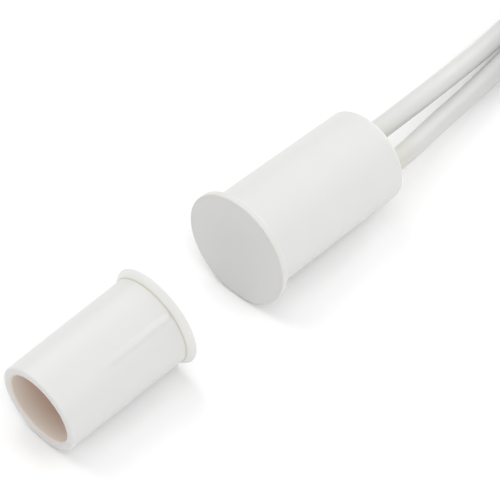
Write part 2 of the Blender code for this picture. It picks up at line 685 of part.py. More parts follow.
def make_stripped_end(letter, spare, hank):
    """The bare tinned end, straight on from the last turn of its lead."""
    at, heading = hank.end_of(letter, spare)
    name = f"lead_{letter}_stripped_end"
    outline = rod_outline(CORE_RADIUS, SEAT_GAP, STRIPPED_LENGTH)
    end = turned(name, outline, TINNED_COPPER, None, 16)
    end.location = at
    end.rotation_euler = heading.to_track_quat("Z", "Y").to_euler()


def make_hank(hank, spares):
    """The outer shape of both leads' spare turns, with room for the tie and the stripped ends."""
    edge = LEAD_RADIUS / 2
    outline = arc((hank.outer - edge, edge), edge, -90, 0, 2)
    outline += arc((hank.outer - edge, hank.top - edge), edge, 0, 90, 2)
    outline += arc((hank.inner + edge, hank.top - edge), edge, 90, 180, 2)
    outline += arc((hank.inner + edge, edge), edge, 180, 270, 2)
    near = [(math.radians(angle), HANK_START_Y) for angle in range(-180, 1, 9)]
    far = [(math.radians(angle), HANK_START_Y + hank.run) for angle in range(0, 181, 9)]
    bm = bmesh.new()
    rings = []
    for angle, middle_y in near + far:
        x, y = math.cos(angle), math.sin(angle)
        places = [(hank.centre_x + r * x, middle_y + r * y, z) for r, z in outline]
        rings.append([bm.verts.new(place) for place in places])
    for this, following in zip(rings, rings[1:] + rings[:1]):
        for k in range(len(outline)):
            bm.faces.new((this[k - 1], following[k - 1], following[k], this[k]))
    body = new_object("lead_hank", bm, LEAD_PVC)

    depth = TIE_THICKNESS + SEAT_GAP
    across = hank.outer - hank.inner + 4 * SEAT_GAP
    room = box("tie_room", across, TIE_WIDTH + 2 * SEAT_GAP, depth)
    room.location = (hank.tie_x, hank.tie_y, (depth - FINE_CLEARANCE) / 2)
    subtract(body, room)
    for letter, free_side in (("a", 1), ("b", -1)):
        at, heading = hank.end_of(letter, spares[letter])
        long, wide = STRIPPED_LENGTH + SEAT_GAP, HANK_PITCH + SEAT_GAP
        high = HANK_PITCH + SEAT_GAP
        notch = box(f"end_room_{letter}", wide, long, high)
        beside = Vector((-heading.y, heading.x, 0.0)) * free_side
        notch.location = at + heading * long / 2 + beside * SEAT_GAP / 2
        notch.location.z += (high - HANK_PITCH) / 2
        notch.rotation_euler.z = math.atan2(heading.y, heading.x) - math.pi / 2
        subtract(body, notch)


def subtract(body, helper):
    """Cuts a helper's shape away, and shows the helper only as lines."""
    helper.hide_render = True
    helper.display_type = "WIRE"
    boolean(body, "DIFFERENCE", helper)


def box(name, along_x, along_y, height, finish=WHITE_PLASTIC):
    bm = bmesh.new()
    bmesh.ops.create_cube(bm, size=1.0, matrix=Matrix.Diagonal((along_x, along_y, height, 1.0)))
    return new_object(name, bm, finish)


def make_tie(hank):
    """A small cable tie round the hank's left run: a flat strap and its head on top."""
    strap = bmesh.new()
    half = (hank.outer - hank.inner) / 2 + SEAT_GAP
    high = hank.top + TIE_THICKNESS + 2 * FINE_CLEARANCE
    corner = 3 * TIE_THICKNESS
    inner_corner = corner - TIE_THICKNESS
    rings = []
    for grow, radius in ((0.0, inner_corner), (TIE_THICKNESS, corner)):
        ring = []
        low_z, high_z = TIE_THICKNESS - grow, high + grow
        for cx, cz, first in (
            (half - inner_corner, low_z + radius, -90), (half - inner_corner, high_z - radius, 0),
            (inner_corner - half, high_z - radius, 90), (inner_corner - half, low_z + radius, 180),
        ):
            ring += arc((cx, cz), radius, first, first + 90, 3)
        rings.append(ring)
    verts = [[[strap.verts.new((x, side, z)) for x, z in ring] for ring in rings]
             for side in (-TIE_WIDTH / 2, TIE_WIDTH / 2)]
    count = len(rings[0])
    for i in range(count):
        j = (i + 1) % count
        (in0, out0), (in1, out1) = verts
        strap.faces.new((in0[i], in0[j], out0[j], out0[i]))
        strap.faces.new((in1[i], out1[i], out1[j], in1[j]))
        strap.faces.new((in0[i], in1[i], in1[j], in0[j]))
        strap.faces.new((out0[i], out0[j], out1[j], out1[i]))
    tie = new_object("hank_tie", strap, TIE_PLASTIC)
    tie.location = (hank.tie_x, hank.tie_y, 0.0)
    head = box("tie_head", TIE_HEAD, TIE_HEAD, TIE_HEAD_HEIGHT)
    head.location = (hank.tie_x, hank.tie_y, high + TIE_HEAD_HEIGHT / 2 + FINE_CLEARANCE)
    head.hide_render = True
    head.display_type = "WIRE"
    boolean(tie, "UNION", head)


def main():
    clear_scene()
    switch = frame_empty("switch_frame", SWITCH_MATRIX)
    magnet = frame_empty("magnet_frame", MAGNET_MATRIX)
    reed = frame_empty(
        "reed_frame",
        Matrix.Translation((*LEAD_A_AT, 0.0)) @ Matrix.Rotation(REED_TURN, 4, "Z"),
        switch,
    )
    make_switch_housing(switch)
    make_potting(switch)
    make_cushion(switch)
    make_glass(reed)
    make_reeds(reed)
    make_joint("a", LEAD_A_AT, switch)
    make_joint("b", LEAD_B_AT, switch)
    make_magnet_housing(magnet)
    make_magnet(magnet)

    left_lanes = {"a": HANK_LEFT_LANE_X, "b": HANK_LEFT_LANE_X + HANK_PITCH}
    curves = {
        "a": smooth_curve(lead_route(LEAD_A_AT, LEAD_A_ROUTE, left_lanes["a"])),
        "b": smooth_curve(lead_route(LEAD_B_AT, LEAD_B_ROUTE, left_lanes["b"])),
    }
    spares = {letter: spare_length(*curve) for letter, curve in curves.items()}
    hank = Hank(spares["a"])
    for letter, curve in curves.items():
        make_lead(letter, *curve, hank)
        make_stripped_end(letter, spares[letter], hank)
    make_hank(hank, spares)
    make_tie(hank)


main()
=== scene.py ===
"""Dresses the magnetic door contact: its two moulded capsules, the leads, their hank and its tie.

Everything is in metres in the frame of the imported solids: +Z up, +Y from the magnet capsule to the
switch capsule and on towards its leads, with the surface at z = 0.
"""

from __future__ import annotations

import json
import logging
import math
from dataclasses import dataclass, field
from enum import Enum
from typing import Sequence

import bpy
import numpy as np
from mathutils import Matrix, Vector

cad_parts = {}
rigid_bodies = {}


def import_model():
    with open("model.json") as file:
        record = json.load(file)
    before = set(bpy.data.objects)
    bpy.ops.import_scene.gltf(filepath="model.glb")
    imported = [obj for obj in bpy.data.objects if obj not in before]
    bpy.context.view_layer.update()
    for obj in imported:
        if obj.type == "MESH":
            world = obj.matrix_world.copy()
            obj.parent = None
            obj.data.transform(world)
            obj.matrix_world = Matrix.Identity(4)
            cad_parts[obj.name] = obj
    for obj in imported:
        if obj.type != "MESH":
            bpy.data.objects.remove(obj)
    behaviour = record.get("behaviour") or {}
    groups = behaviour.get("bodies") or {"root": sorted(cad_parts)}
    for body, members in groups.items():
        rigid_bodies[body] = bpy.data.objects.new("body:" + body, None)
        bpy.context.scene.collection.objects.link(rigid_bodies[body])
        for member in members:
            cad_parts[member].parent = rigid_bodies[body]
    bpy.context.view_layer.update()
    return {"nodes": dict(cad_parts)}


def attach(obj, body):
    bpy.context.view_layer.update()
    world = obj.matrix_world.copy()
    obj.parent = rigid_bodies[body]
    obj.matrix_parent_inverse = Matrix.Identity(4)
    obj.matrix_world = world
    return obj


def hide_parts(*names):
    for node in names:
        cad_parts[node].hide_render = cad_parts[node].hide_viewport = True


LOG = logging.getLogger("door_contact")

MM = 0.001
TURN = math.tau
HUB = 0.05 * MM  # How far off its axis a turned outline ends. A cap closes what is left.
LEAD_LENGTH = 300.0 * MM
LEAD_RADIUS = 1.0 * MM
Colour = tuple[float, float, float]


# Shader maths


class Signal:
    """A socket's value, so that shader maths reads as Python."""

    def __init__(self, graph: Graph, socket: bpy.types.NodeSocket) -> None:
        """Keeps the socket and the graph that new nodes go into."""
        self.graph = graph
        self.socket = socket

    def __add__(self, other: Operand) -> Signal:
        """self + other."""
        return self.graph.maths("ADD", self, other)

    def __radd__(self, other: Operand) -> Signal:
        """other + self."""
        return self.graph.maths("ADD", other, self)

    def __sub__(self, other: Operand) -> Signal:
        """self - other."""
        return self.graph.maths("SUBTRACT", self, other)

    def __rsub__(self, other: Operand) -> Signal:
        """other - self."""
        return self.graph.maths("SUBTRACT", other, self)

    def __mul__(self, other: Operand) -> Signal:
        """self * other."""
        return self.graph.maths("MULTIPLY", self, other)

    def __rmul__(self, other: Operand) -> Signal:
        """other * self."""
        return self.graph.maths("MULTIPLY", other, self)

    def ramp(self, low: float, high: float) -> Signal:
        """A smooth rise from 0 at low to 1 at high. It falls where high is under low."""
        sockets = {"Value": self, "From Min": low, "From Max": high}
        return self.graph.output("ShaderNodeMapRange", SMOOTH_STEPS, sockets, "Result")


SMOOTH_STEPS = {"interpolation_type": "SMOOTHSTEP"}
Operand = Signal | float
SocketValue = Signal | float | Sequence[float]
Sockets = dict[str | int, SocketValue]
Settings = dict[str, object]


class Graph:
    """The node tree of one material, with its shader and output already in place."""

    def __init__(self, name: str) -> None:
        """Makes the material with its shader and its output.

        Args:
            name: The material's name.
        """
        self.material = bpy.data.materials.new(name)
        self.material.use_nodes = True
        self.tree = self.material.node_tree
        self.tree.nodes.clear()
        self.shader = self.node("ShaderNodeBsdfPrincipled")
        surface = self.node("ShaderNodeOutputMaterial")
        self.tree.links.new(self.shader.outputs["BSDF"], surface.inputs["Surface"])

    def node(
        self, kind: str, settings: Settings | None = None, sockets: Sockets | None = None
    ) -> bpy.types.Node:
        """Makes a node.

        Args:
            kind: The node's type name.
            settings: Its own properties.
            sockets: Values or signals for its inputs, by name, identifier or index.

        Returns:
            The new node.
        """
        made = self.tree.nodes.new(kind)
        for key, value in (settings or {}).items():
            setattr(made, key, value)
        for key, value in (sockets or {}).items():
            self.feed(made, key, value)
        return made

    @staticmethod
    def socket(sockets: bpy.types.bpy_prop_collection, key: str | int) -> bpy.types.NodeSocket:
        """The socket with that identifier, name or index."""
        named = [socket for socket in sockets if socket.identifier == key]
        return named[0] if named else sockets[key]

    def feed(self, node: bpy.types.Node, key: str | int, value: SocketValue) -> None:
        """Links a signal to an input, or sets the input's value.

        Args:
            node: The node that takes the value.
            key: The input's name, identifier or index.
            value: A signal, a number, a colour or a vector.
        """
        socket = self.socket(node.inputs, key)
        if isinstance(value, Signal):
            self.tree.links.new(value.socket, socket)
        elif socket.type == "RGBA" and len(value) == 3:
            socket.default_value = (*value, 1.0)
        else:
            socket.default_value = value

    def output(
        self, kind: str, settings: Settings | None, sockets: Sockets | None, name: str | int
    ) -> Signal:
        """Makes a node and gives one of its outputs.

        Args:
            kind: The node's type name.
            settings: As in node.
            sockets: As in node.
            name: The output's name, identifier or index.

        Returns:
            The output as a signal.
        """
        return Signal(self, self.socket(self.node(kind, settings, sockets).outputs, name))

    def maths(self, operation: str, *operands: Operand) -> Signal:
        """One Math node on numbers and signals."""
        return self.output("ShaderNodeMath", {"operation": operation}, dict(enumerate(operands)), 0)

    def mix(self, factor: Operand, first: SocketValue, second: SocketValue) -> Signal:
        """A colour between two colours.

        Args:
            factor: 0 for the first and 1 for the second.
            first: A colour or a signal.
            second: A colour or a signal.

        Returns:
            The mixed colour.
        """
        sockets = {"Factor_Float": factor, "A_Color": first, "B_Color": second}
        return self.output("ShaderNodeMix", {"data_type": "RGBA"}, sockets, "Result_Color")

    def place(self) -> Signal:
        """Where on the object a point is, in metres."""
        return self.output("ShaderNodeTexCoord", None, None, "Object")

    def stretched(self, where: Signal, scale: Sequence[float]) -> Signal:
        """Coordinates scaled apart along each axis."""
        return self.output("ShaderNodeMapping", None, {"Vector": where, "Scale": scale}, 0)

    def uv(self, name: str) -> Signal:
        """The piece's own map of that name."""
        return self.output("ShaderNodeUVMap", {"uv_map": name}, None, "UV")

    def attribute(self, name: str) -> Signal:
        """The piece's own number of that name at each point."""
        return self.output("ShaderNodeAttribute", {"attribute_name": name}, None, "Fac")

    def noise(self, where: Signal, size: float, detail: float = 2.0) -> Signal:
        """Soft noise from 0 to 1.

        Args:
            where: Coordinates in metres.
            size: About how wide one patch is, in metres.
            detail: How many finer layers are added.

        Returns:
            The noise.
        """
        sockets = {"Vector": where, "Scale": 1.0 / size, "Detail": detail}
        return self.output("ShaderNodeTexNoise", None, sockets, "Fac")

    def pits(self, where: Signal, size: float) -> Signal:
        """The distance to the nearest of many scattered points, as a share of their spacing."""
        sockets = {"Vector": where, "Scale": 1.0 / size}
        return self.output("ShaderNodeTexVoronoi", None, sockets, "Distance")

    def bump(self, height: Signal, depth: float) -> Signal:
        """A normal from a height, where a height of 1 stands for the depth in metres."""
        sockets = {"Height": height, "Distance": depth, "Strength": 1.0}
        return self.output("ShaderNodeBump", None, sockets, "Normal")

    def surface(self, **sockets: SocketValue) -> None:
        """Sets the shader's inputs, with underscores for the spaces in their names."""
        for key, value in sockets.items():
            self.feed(self.shader, key.replace("_", " "), value)


def scaled(colour: Colour, by: float) -> Colour:
    """A colour made lighter or darker."""
    return (colour[0] * by, colour[1] * by, colour[2] * by)


# Finishes


@dataclass(frozen=True)
class Finish:
    """A named surface finish."""

    name: str
    slot: str
    colour: Colour

    def material(self) -> bpy.types.Material:
        """Makes the finish's material, once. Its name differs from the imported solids' plain ones.

        Returns:
            The material.
        """
        label = f"{self.name}_finish"
        found = bpy.data.materials.get(label)
        if found:
            return found
        graph = Graph(label)
        self.dress(graph)
        graph.material.diffuse_color = (*self.colour, 1.0)
        return graph.material

    def dress(self, graph: Graph) -> None:
        """Gives the graph's shader its colours, gloss and relief."""
        raise NotImplementedError


@dataclass(frozen=True)
class MouldedPlastic(Finish):
    """White moulded plastic: nearly even, with a soft satin sheen and a fine eroded texture."""

    roughness: float = 0.42
    flow_size: float = 5.0 * MM
    grain_size: float = 0.06 * MM
    grain_depth: float = 0.0012 * MM
    bleed: float = 0.0
    bleed_reach: Colour = (1.0, 0.8, 0.65)
    bleed_depth: float = 0.6 * MM
    flow_shade: float = 0.992
    flow_relief: float = 3.0
    gloss_drift: float = 0.05
    gloss_grain: float = 0.04
    # A darker warm line: painted shade in the magnet capsule's crease, and a warm tone at the switch
    # capsule's face rim.
    dark_line: Colour = (0.56, 0.53, 0.43)
    # Painted light: the magnet capsule's flange is painted paler.
    flange_light: Colour = (0.72, 0.72, 0.705)

    def dress(self, graph: Graph) -> None:
        """Colour drifts with the plastic's flow and gloss with its grain. A flange is painted paler
        as painted light, and a darker warm line goes where the mesh marks one: painted shade in the
        magnet capsule's crease, and a warm tone at the switch capsule's face rim.

        Args:
            graph: The material's graph.
        """
        where = graph.place()
        flow = graph.noise(where, self.flow_size, 3.0)
        grain = graph.noise(where, self.grain_size)
        soft = scaled(self.colour, self.flow_shade)
        colour = graph.mix(flow.ramp(0.35, 0.65), soft, self.colour)
        # Painted light: the flange is painted paler.
        colour = graph.mix(graph.attribute("flange_light"), self.tinted(graph, colour), self.flange_light)
        least = self.roughness - self.gloss_grain
        # Painted shade: a darker warm line in the crease under the magnet capsule's flange; the same
        # colour gives the switch capsule's face rim its warm tone.
        graph.surface(
            Base_Color=graph.mix(graph.attribute("dark_line"), colour, self.dark_line),
            Roughness=least + self.gloss_drift * flow + self.gloss_grain * grain,
            Normal=graph.bump(grain + self.flow_relief * flow, self.grain_depth),
            IOR=1.5,
            Subsurface_Weight=self.bleed,
            Subsurface_Radius=self.bleed_reach,
            Subsurface_Scale=self.bleed_depth,
        )

    def tinted(self, graph: Graph, colour: Signal) -> Signal:
        """The plain plastic has no tint over its own colour."""
        return colour


@dataclass(frozen=True)
class ShadedBorePlastic(MouldedPlastic):
    """The same plastic with painted shade in its bore: darker and warmer the deeper in, for the dim
    warm light inside the hollow, after a pale warm band of painted bounce light near the mouth.

    The three depths are in millimetres from the mouth: where the edge ends, where the painted shade
    starts and where it is full.
    """

    # Painted shade deep in the bore, and a pale warm painted bounce light at its mouth.
    bore_shade: Colour = (0.89, 0.65, 0.53)
    mouth: Colour = (0.83, 0.765, 0.695)
    edge_depth: float = 0.02
    clear_depth: float = 0.22
    full_depth: float = 4.2
    drift: float = 0.35
    drift_middle: float = 0.17
    drift_size: float = 2.5 * MM

    def tinted(self, graph: Graph, colour: Signal) -> Signal:
        """Past a pale warm band of painted bounce light at the mouth, painted shade deepens inwards,
        by the depth in millimetres on the mesh.

        Args:
            graph: The material's graph.
            colour: The plain plastic's colour.

        Returns:
            The stained colour.
        """
        depth = graph.attribute("bore_depth")
        drift = self.drift * graph.noise(graph.place(), self.drift_size) - self.drift_middle
        share = (depth + drift).ramp(self.clear_depth, self.full_depth)
        deep = graph.mix(share, self.mouth, self.bore_shade)
        return graph.mix(depth.ramp(self.edge_depth, self.clear_depth), colour, deep)


@dataclass(frozen=True)
class Insulation(Finish):
    """Extruded white insulation: a soft sheen, faint draw lines, and painted warm shade near the
    capsule.
    """

    # Painted shade with a warm painted bounce light where the lead leaves the capsule.
    exit_shade: Colour = (0.78, 0.76, 0.66)
    shade_reach: float = 8.0 * MM
    shade_flow: float = 0.25
    flow_size: float = 3.0 * MM
    flow_shade: float = 0.985
    line_size: float = 0.035
    line_stretch: tuple[float, float, float] = (0.06, 1.0, 1.0)
    line_shade: float = 0.955
    line_share: float = 0.4
    roughness: float = 0.36
    relief: float = 0.004 * MM
    bleed: float = 0.12
    bleed_reach: Colour = (1.0, 0.85, 0.6)
    bleed_depth: float = 0.5 * MM

    def dress(self, graph: Graph) -> None:
        """Draw lines run along the lead, and its first few millimetres from the capsule are painted
        darker and warmer, as painted shade with a warm painted bounce light.

        Args:
            graph: The material's graph.
        """
        lay = graph.uv("lay")
        lines = graph.noise(graph.stretched(lay, self.line_stretch), self.line_size)
        flow = graph.noise(graph.place(), self.flow_size)
        along = graph.output("ShaderNodeSeparateXYZ", None, {"Vector": lay}, "X") * LEAD_LENGTH
        # Painted shade near the capsule, a little uneven with the flow.
        exit_shaded = along.ramp(self.shade_reach, 0.0) * (1.0 - self.shade_flow + self.shade_flow * flow)
        soft, dull = scaled(self.colour, self.flow_shade), scaled(self.colour, self.line_shade)
        colour = graph.mix(flow.ramp(0.3, 0.7), soft, self.colour)
        colour = graph.mix(lines.ramp(0.55, 0.8) * self.line_share, colour, dull)
        graph.surface(
            Base_Color=graph.mix(exit_shaded, colour, self.exit_shade),
            Roughness=self.roughness + 0.1 * lines,
            Normal=graph.bump(lines + 0.6 * flow, self.relief),
            IOR=1.52,
            Subsurface_Weight=self.bleed,
            Subsurface_Radius=self.bleed_reach,
            Subsurface_Scale=self.bleed_depth,
        )


@dataclass(frozen=True)
class CastResin(Finish):
    """Cream potting resin: glossy, a little cloudy, with a few popped bubbles."""

    cloud_size: float = 1.6 * MM
    cloud_shade: float = 0.9
    bubble_size: float = 0.7 * MM
    bubble_share: float = 0.16
    bubble_shade: float = 0.75
    roughness: float = 0.16
    relief: float = 0.02 * MM
    bleed: float = 0.2
    bleed_reach: Colour = (1.0, 0.8, 0.5)
    bleed_depth: float = 0.5 * MM

    def dress(self, graph: Graph) -> None:
        """Cloudy colour, and small pits where bubbles rose, painted darker as painted shade.

        Args:
            graph: The material's graph.
        """
        where = graph.place()
        cloud = graph.noise(where, self.cloud_size, 3.0)
        bubbles = graph.pits(where, self.bubble_size).ramp(0.0, self.bubble_share)
        dim = scaled(self.colour, self.cloud_shade)
        colour = graph.mix(cloud.ramp(0.3, 0.7), dim, self.colour)
        # Painted shade: the bubble pits are painted darker.
        graph.surface(
            Base_Color=graph.mix(bubbles, scaled(self.colour, self.bubble_shade), colour),
            Roughness=self.roughness + 0.14 * cloud,
            Normal=graph.bump(bubbles + 0.5 * cloud, self.relief),
            Subsurface_Weight=self.bleed,
            Subsurface_Radius=self.bleed_reach,
            Subsurface_Scale=self.bleed_depth,
        )


@dataclass(frozen=True)
class BareMetal(Finish):
    """Plain metal: its gloss drifts, and fine lines or grains show in it."""

    roughness: float = 0.3
    grain_size: float = 0.12 * MM
    stretch: tuple[float, float, float] = (1.0, 1.0, 1.0)
    dulling: float = 0.7
    grain_depth: float = 0.003 * MM
    grain_shade: float = 0.85
    patch_size: float = 1.5 * MM

    def dress(self, graph: Graph) -> None:
        """Dull patches over grains that may be drawn out along one axis.

        Args:
            graph: The material's graph.
        """
        where = graph.place()
        grain = graph.noise(graph.stretched(where, self.stretch), self.grain_size, 3.0)
        patch = graph.noise(where, self.patch_size)
        colour = graph.mix(patch.ramp(0.35, 0.75), self.colour, scaled(self.colour, self.dulling))
        graph.surface(
            Base_Color=graph.mix(grain * 0.5, colour, scaled(self.colour, self.grain_shade)),
            Metallic=1.0,
            Roughness=self.roughness + 0.2 * patch + 0.1 * grain,
            Normal=graph.bump(grain, self.grain_depth),
        )


@dataclass(frozen=True)
class SoftSkin(Finish):
    """Rubber, sleeving or cured glue: mottled, with a gloss of its own."""

    roughness: float = 0.6
    mottle_size: float = 0.8 * MM
    depth: float = 0.01 * MM
    mottle_shade: float = 0.8
    gloss_drift: float = 0.08

    def dress(self, graph: Graph) -> None:
        """Mottled colour and a soft uneven skin.

        Args:
            graph: The material's graph.
        """
        where = graph.place()
        mottle = graph.noise(where, self.mottle_size, 3.0)
        graph.surface(
            Base_Color=graph.mix(mottle, scaled(self.colour, self.mottle_shade), self.colour),
            Roughness=self.roughness - self.gloss_drift + 2 * self.gloss_drift * mottle,
            Normal=graph.bump(mottle, self.depth),
        )


@dataclass(frozen=True)
class ClearGlass(Finish):
    """Greenish reed glass, a little wavy where it was drawn in."""

    wave_size: float = 0.6 * MM
    wave_shade: float = 0.95
    roughness: float = 0.03
    relief: float = 0.004 * MM

    def dress(self, graph: Graph) -> None:
        """Clear and smooth, with faint drawing waves.

        Args:
            graph: The material's graph.
        """
        waves = graph.noise(graph.place(), self.wave_size, 1.0)
        graph.surface(
            Base_Color=graph.mix(waves, scaled(self.colour, self.wave_shade), self.colour),
            Roughness=self.roughness + self.roughness * waves,
            Normal=graph.bump(waves, self.relief),
            Transmission_Weight=0.9,
            IOR=1.48,
        )


WHITE_PLASTIC = MouldedPlastic("white_plastic", "white_plastic", (0.660, 0.660, 0.650), bleed=0.1)
BORE_PLASTIC = ShadedBorePlastic(
    "white_plastic_bore", "white_plastic", (0.660, 0.660, 0.650), bleed=0.1
)
UPPER_LEAD = Insulation(
    "upper_lead_pvc", "lead_pvc", (0.62, 0.62, 0.61), exit_shade=(0.53, 0.53, 0.44)
)
# Painted shade: the lower lead is the same white insulation as the upper one, given a darker colour
# for the shade it lies in.
LOWER_LEAD = Insulation(
    "lower_lead_pvc", "lead_pvc", (0.575, 0.575, 0.565), exit_shade=(0.56, 0.53, 0.42)
)
RESIN = CastResin("potting_resin", "potting_resin", (0.78, 0.75, 0.66))
TINNED_COPPER = BareMetal("tinned_copper", "tinned_copper", (0.75, 0.74, 0.71), 0.26)
MAGNET_ALLOY = BareMetal(
    "magnet_alloy", "magnet_alloy", (0.27, 0.26, 0.26), 0.34, 0.07 * MM, (5.0, 1.0, 0.25), 0.8
)
MAGNET_GLUE = SoftSkin("magnet_glue", "magnet_glue", (0.50, 0.36, 0.20), 0.3, 0.6 * MM, 0.03 * MM)
REED_ALLOY = BareMetal("reed_alloy", "reed_alloy", (0.62, 0.60, 0.56), 0.24)
SOLDER = BareMetal("solder", "solder", (0.66, 0.66, 0.67), 0.3, 0.3 * MM, dulling=0.85)
SLEEVING = SoftSkin("sleeving", "sleeving", (0.12, 0.12, 0.13), 0.55, 0.3 * MM)
CUSHION = SoftSkin("cushion_rubber", "cushion_rubber", (0.72, 0.70, 0.66), 0.75, 0.2 * MM)
REED_GLASS = ClearGlass("reed_glass", "reed_glass", (0.72, 0.84, 0.78))
TIE_PLASTIC = MouldedPlastic(
    "tie_plastic", "tie_plastic", (0.80, 0.80, 0.77), 0.38, 3.0 * MM, 0.12 * MM, 0.003 * MM, 0.15
)


# Surfaces on a grid


class Ends(Enum):
    """How the first and last rings of a skin are finished."""

    CAPPED = "capped"
    JOINED = "joined"


@dataclass
class Skin:
    """A closed surface through rings of points.

    Attributes:
        rings: An array of (ring, point round it, xyz). The points of a ring go all the way round.
        ends: Whether the first and last rings are capped, or joined to each other.
    """

    rings: np.ndarray
    ends: Ends = Ends.CAPPED

    def parts(self) -> tuple[np.ndarray, list[list[int]], np.ndarray]:
        """Works out the surface's points and faces.

        Point (i, j) of the grid is number i * columns + j. A face joins (i, j), (i, j + 1),
        (i + 1, j + 1) and (i + 1, j), with j + 1 taken round to 0, and i + 1 too where the ends
        are joined. A cap is a fan from the middle of its ring. Where the summed tetrahedra from
        the origin to the faces have a negative volume, every face is turned round.

        Returns:
            The points, the faces, and each face corner's (share along, share round) place.
        """
        rows, columns = self.rings.shape[:2]
        spans = rows if self.ends is Ends.JOINED else rows - 1
        i, j = np.meshgrid(np.arange(spans), np.arange(columns), indexing="ij")
        i, j = i.ravel(), j.ravel()
        corners_i = np.stack([i, i, i + 1, i + 1], axis=1)
        corners_j = np.stack([j, j + 1, j + 1, j], axis=1)
        quads = (corners_i % rows) * columns + corners_j % columns
        places = np.stack([corners_i / spans, corners_j / columns], axis=2).reshape(-1, 2)
        points = self.rings.reshape(-1, 3)
        faces = quads.tolist()
        if self.ends is Ends.CAPPED:
            poles = self.rings[[0, -1]].mean(axis=1)
            points = np.vstack([points, poles])
            k = np.arange(columns)
            onward = (k + 1) % columns
            last = (rows - 1) * columns
            low = np.stack([np.full(columns, rows * columns), onward, k], axis=1)
            high = np.stack([np.full(columns, rows * columns + 1), last + k, last + onward], axis=1)
            faces += low.tolist() + high.tolist()
            share = k / columns
            step = 1.0 / columns
            for end, first, second in ((0.0, share + step, share), (1.0, share, share + step)):
                fan = np.stack([share + step / 2, first, second], axis=1)
                spots = np.stack([np.full_like(fan, end), fan], axis=2)
                places = np.vstack([places, spots.reshape(-1, 2)])
        a, b, c, d = (points[quads[:, corner]] for corner in range(4))
        volume = np.einsum("ij,ij->", a, np.cross(b, c)) + np.einsum("ij,ij->", a, np.cross(c, d))
        if volume < 0:
            sizes = [len(face) for face in faces]
            faces = [face[::-1] for face in faces]
            starts = np.concatenate([[0], np.cumsum(sizes)])
            order = np.concatenate(
                [np.arange(end - 1, start - 1, -1) for start, end in zip(starts, starts[1:])]
            )
            places = places[order]
        return points, faces, places


def in_scene(name: str, data: bpy.types.ID) -> bpy.types.Object:
    """Puts new data into the scene.

    Args:
        name: The object's name.
        data: Its mesh, light or camera.

    Returns:
        The new object.
    """
    made = bpy.data.objects.new(name, data)
    bpy.context.scene.collection.objects.link(made)
    return made


def piece(
    name: str,
    skins: Sequence[Skin],
    finish: Finish,
    replaces: Sequence[str] = (),
    sharp: float = 40.0,
    numbers: dict[str, np.ndarray] | None = None,
    lay: bool = False,
) -> bpy.types.Object:
    """Makes one object from closed skins and puts it on the frame.

    Args:
        name: The piece's name.
        skins: The closed surfaces that it is made of.
        finish: Its finish.
        replaces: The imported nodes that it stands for.
        sharp: The angle in degrees past which an edge stays sharp.
        numbers: Values at each point, by name.
        lay: Whether it keeps the (along, round) map named "lay".

    Returns:
        The new object.
    """
    points, faces, places, offset = [], [], [], 0
    for skin in skins:
        some, theirs, spots = skin.parts()
        points.append(some)
        faces += [[corner + offset for corner in face] for face in theirs]
        places.append(spots)
        offset += len(some)
    mesh = bpy.data.meshes.new(name)
    mesh.from_pydata(np.vstack(points).tolist(), [], faces)
    mesh.shade_smooth()
    mesh.set_sharp_from_angle(angle=math.radians(sharp))
    for key, values in (numbers or {}).items():
        mesh.attributes.new(key, "FLOAT", "POINT").data.foreach_set("value", values.ravel())
    if lay:
        layer = mesh.uv_layers.new(name="lay")
        layer.data.foreach_set("uv", np.vstack(places).ravel())
    mesh.materials.append(finish.material())
    made = in_scene(name, mesh)
    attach(made, "root")
    if replaces:
        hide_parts(*replaces)
    LOG.info("%s: %d points, %d faces", name, len(mesh.vertices), len(mesh.polygons))
    return made


def rounding(
    centre: Sequence[float], radius: float, start: float, end: float, steps: int = 9
) -> np.ndarray:
    """Points of a rounding in the (radius, height) plane.

    Each is the centre plus the radius times (cos a, sin a), for even steps of a.

    Args:
        centre: The rounding's centre.
        radius: Its radius.
        start: The first angle in degrees.
        end: The last angle in degrees.
        steps: How many chords it has.

    Returns:
        The points.
    """
    a = np.radians(np.linspace(start, end, steps + 1))
    return np.column_stack([centre[0] + radius * np.cos(a), centre[1] + radius * np.sin(a)])


def outline_of(
    *stretches: Sequence[Sequence[float]], span: float = 0.25 * MM, guard: float = 0.02 * MM
) -> np.ndarray:
    """Joins stretches of an outline and divides its long sides.

    A side longer than the span gets a point a guard's width from each end, so that smooth shading
    doesn't spread a rounding's tilt over it, and even points about a span apart between them.

    Args:
        stretches: Rows of (radius, height) points.
        span: The longest side that stays whole.
        guard: How far the first added point is from a corner.

    Returns:
        The outline's points.
    """
    corners = np.vstack([np.asarray(stretch, float).reshape(-1, 2) for stretch in stretches])
    pieces = [corners[:1]]
    for low, high in zip(corners, corners[1:]):
        length = float(np.linalg.norm(high - low))
        if length < 1e-9:
            continue
        if length > span:
            inner = np.linspace(guard, length - guard, max(2, round(length / span) + 1)) / length
            pieces.append(low + inner[:, None] * (high - low))
        pieces.append(high[None, :])
    return np.vstack(pieces)


def all_round(columns: int) -> np.ndarray:
    """Even angles all the way round."""
    return np.linspace(0.0, TURN, columns, endpoint=False)


def signed_power(values: np.ndarray, power: float) -> np.ndarray:
    """Each value's size to a power, with the value's own sign."""
    return np.sign(values) * np.abs(values) ** power


def smooth_step(share: np.ndarray) -> np.ndarray:
    """s^2 (3 - 2 s), for s the share kept between 0 and 1."""
    s = np.clip(share, 0.0, 1.0)
    return s * s * (3.0 - 2.0 * s)


def at_points(values: np.ndarray, columns: int) -> np.ndarray:
    """A value for each point of a capped skin, from one for each ring."""
    return np.concatenate([np.repeat(values, columns), values[[0, -1]]])


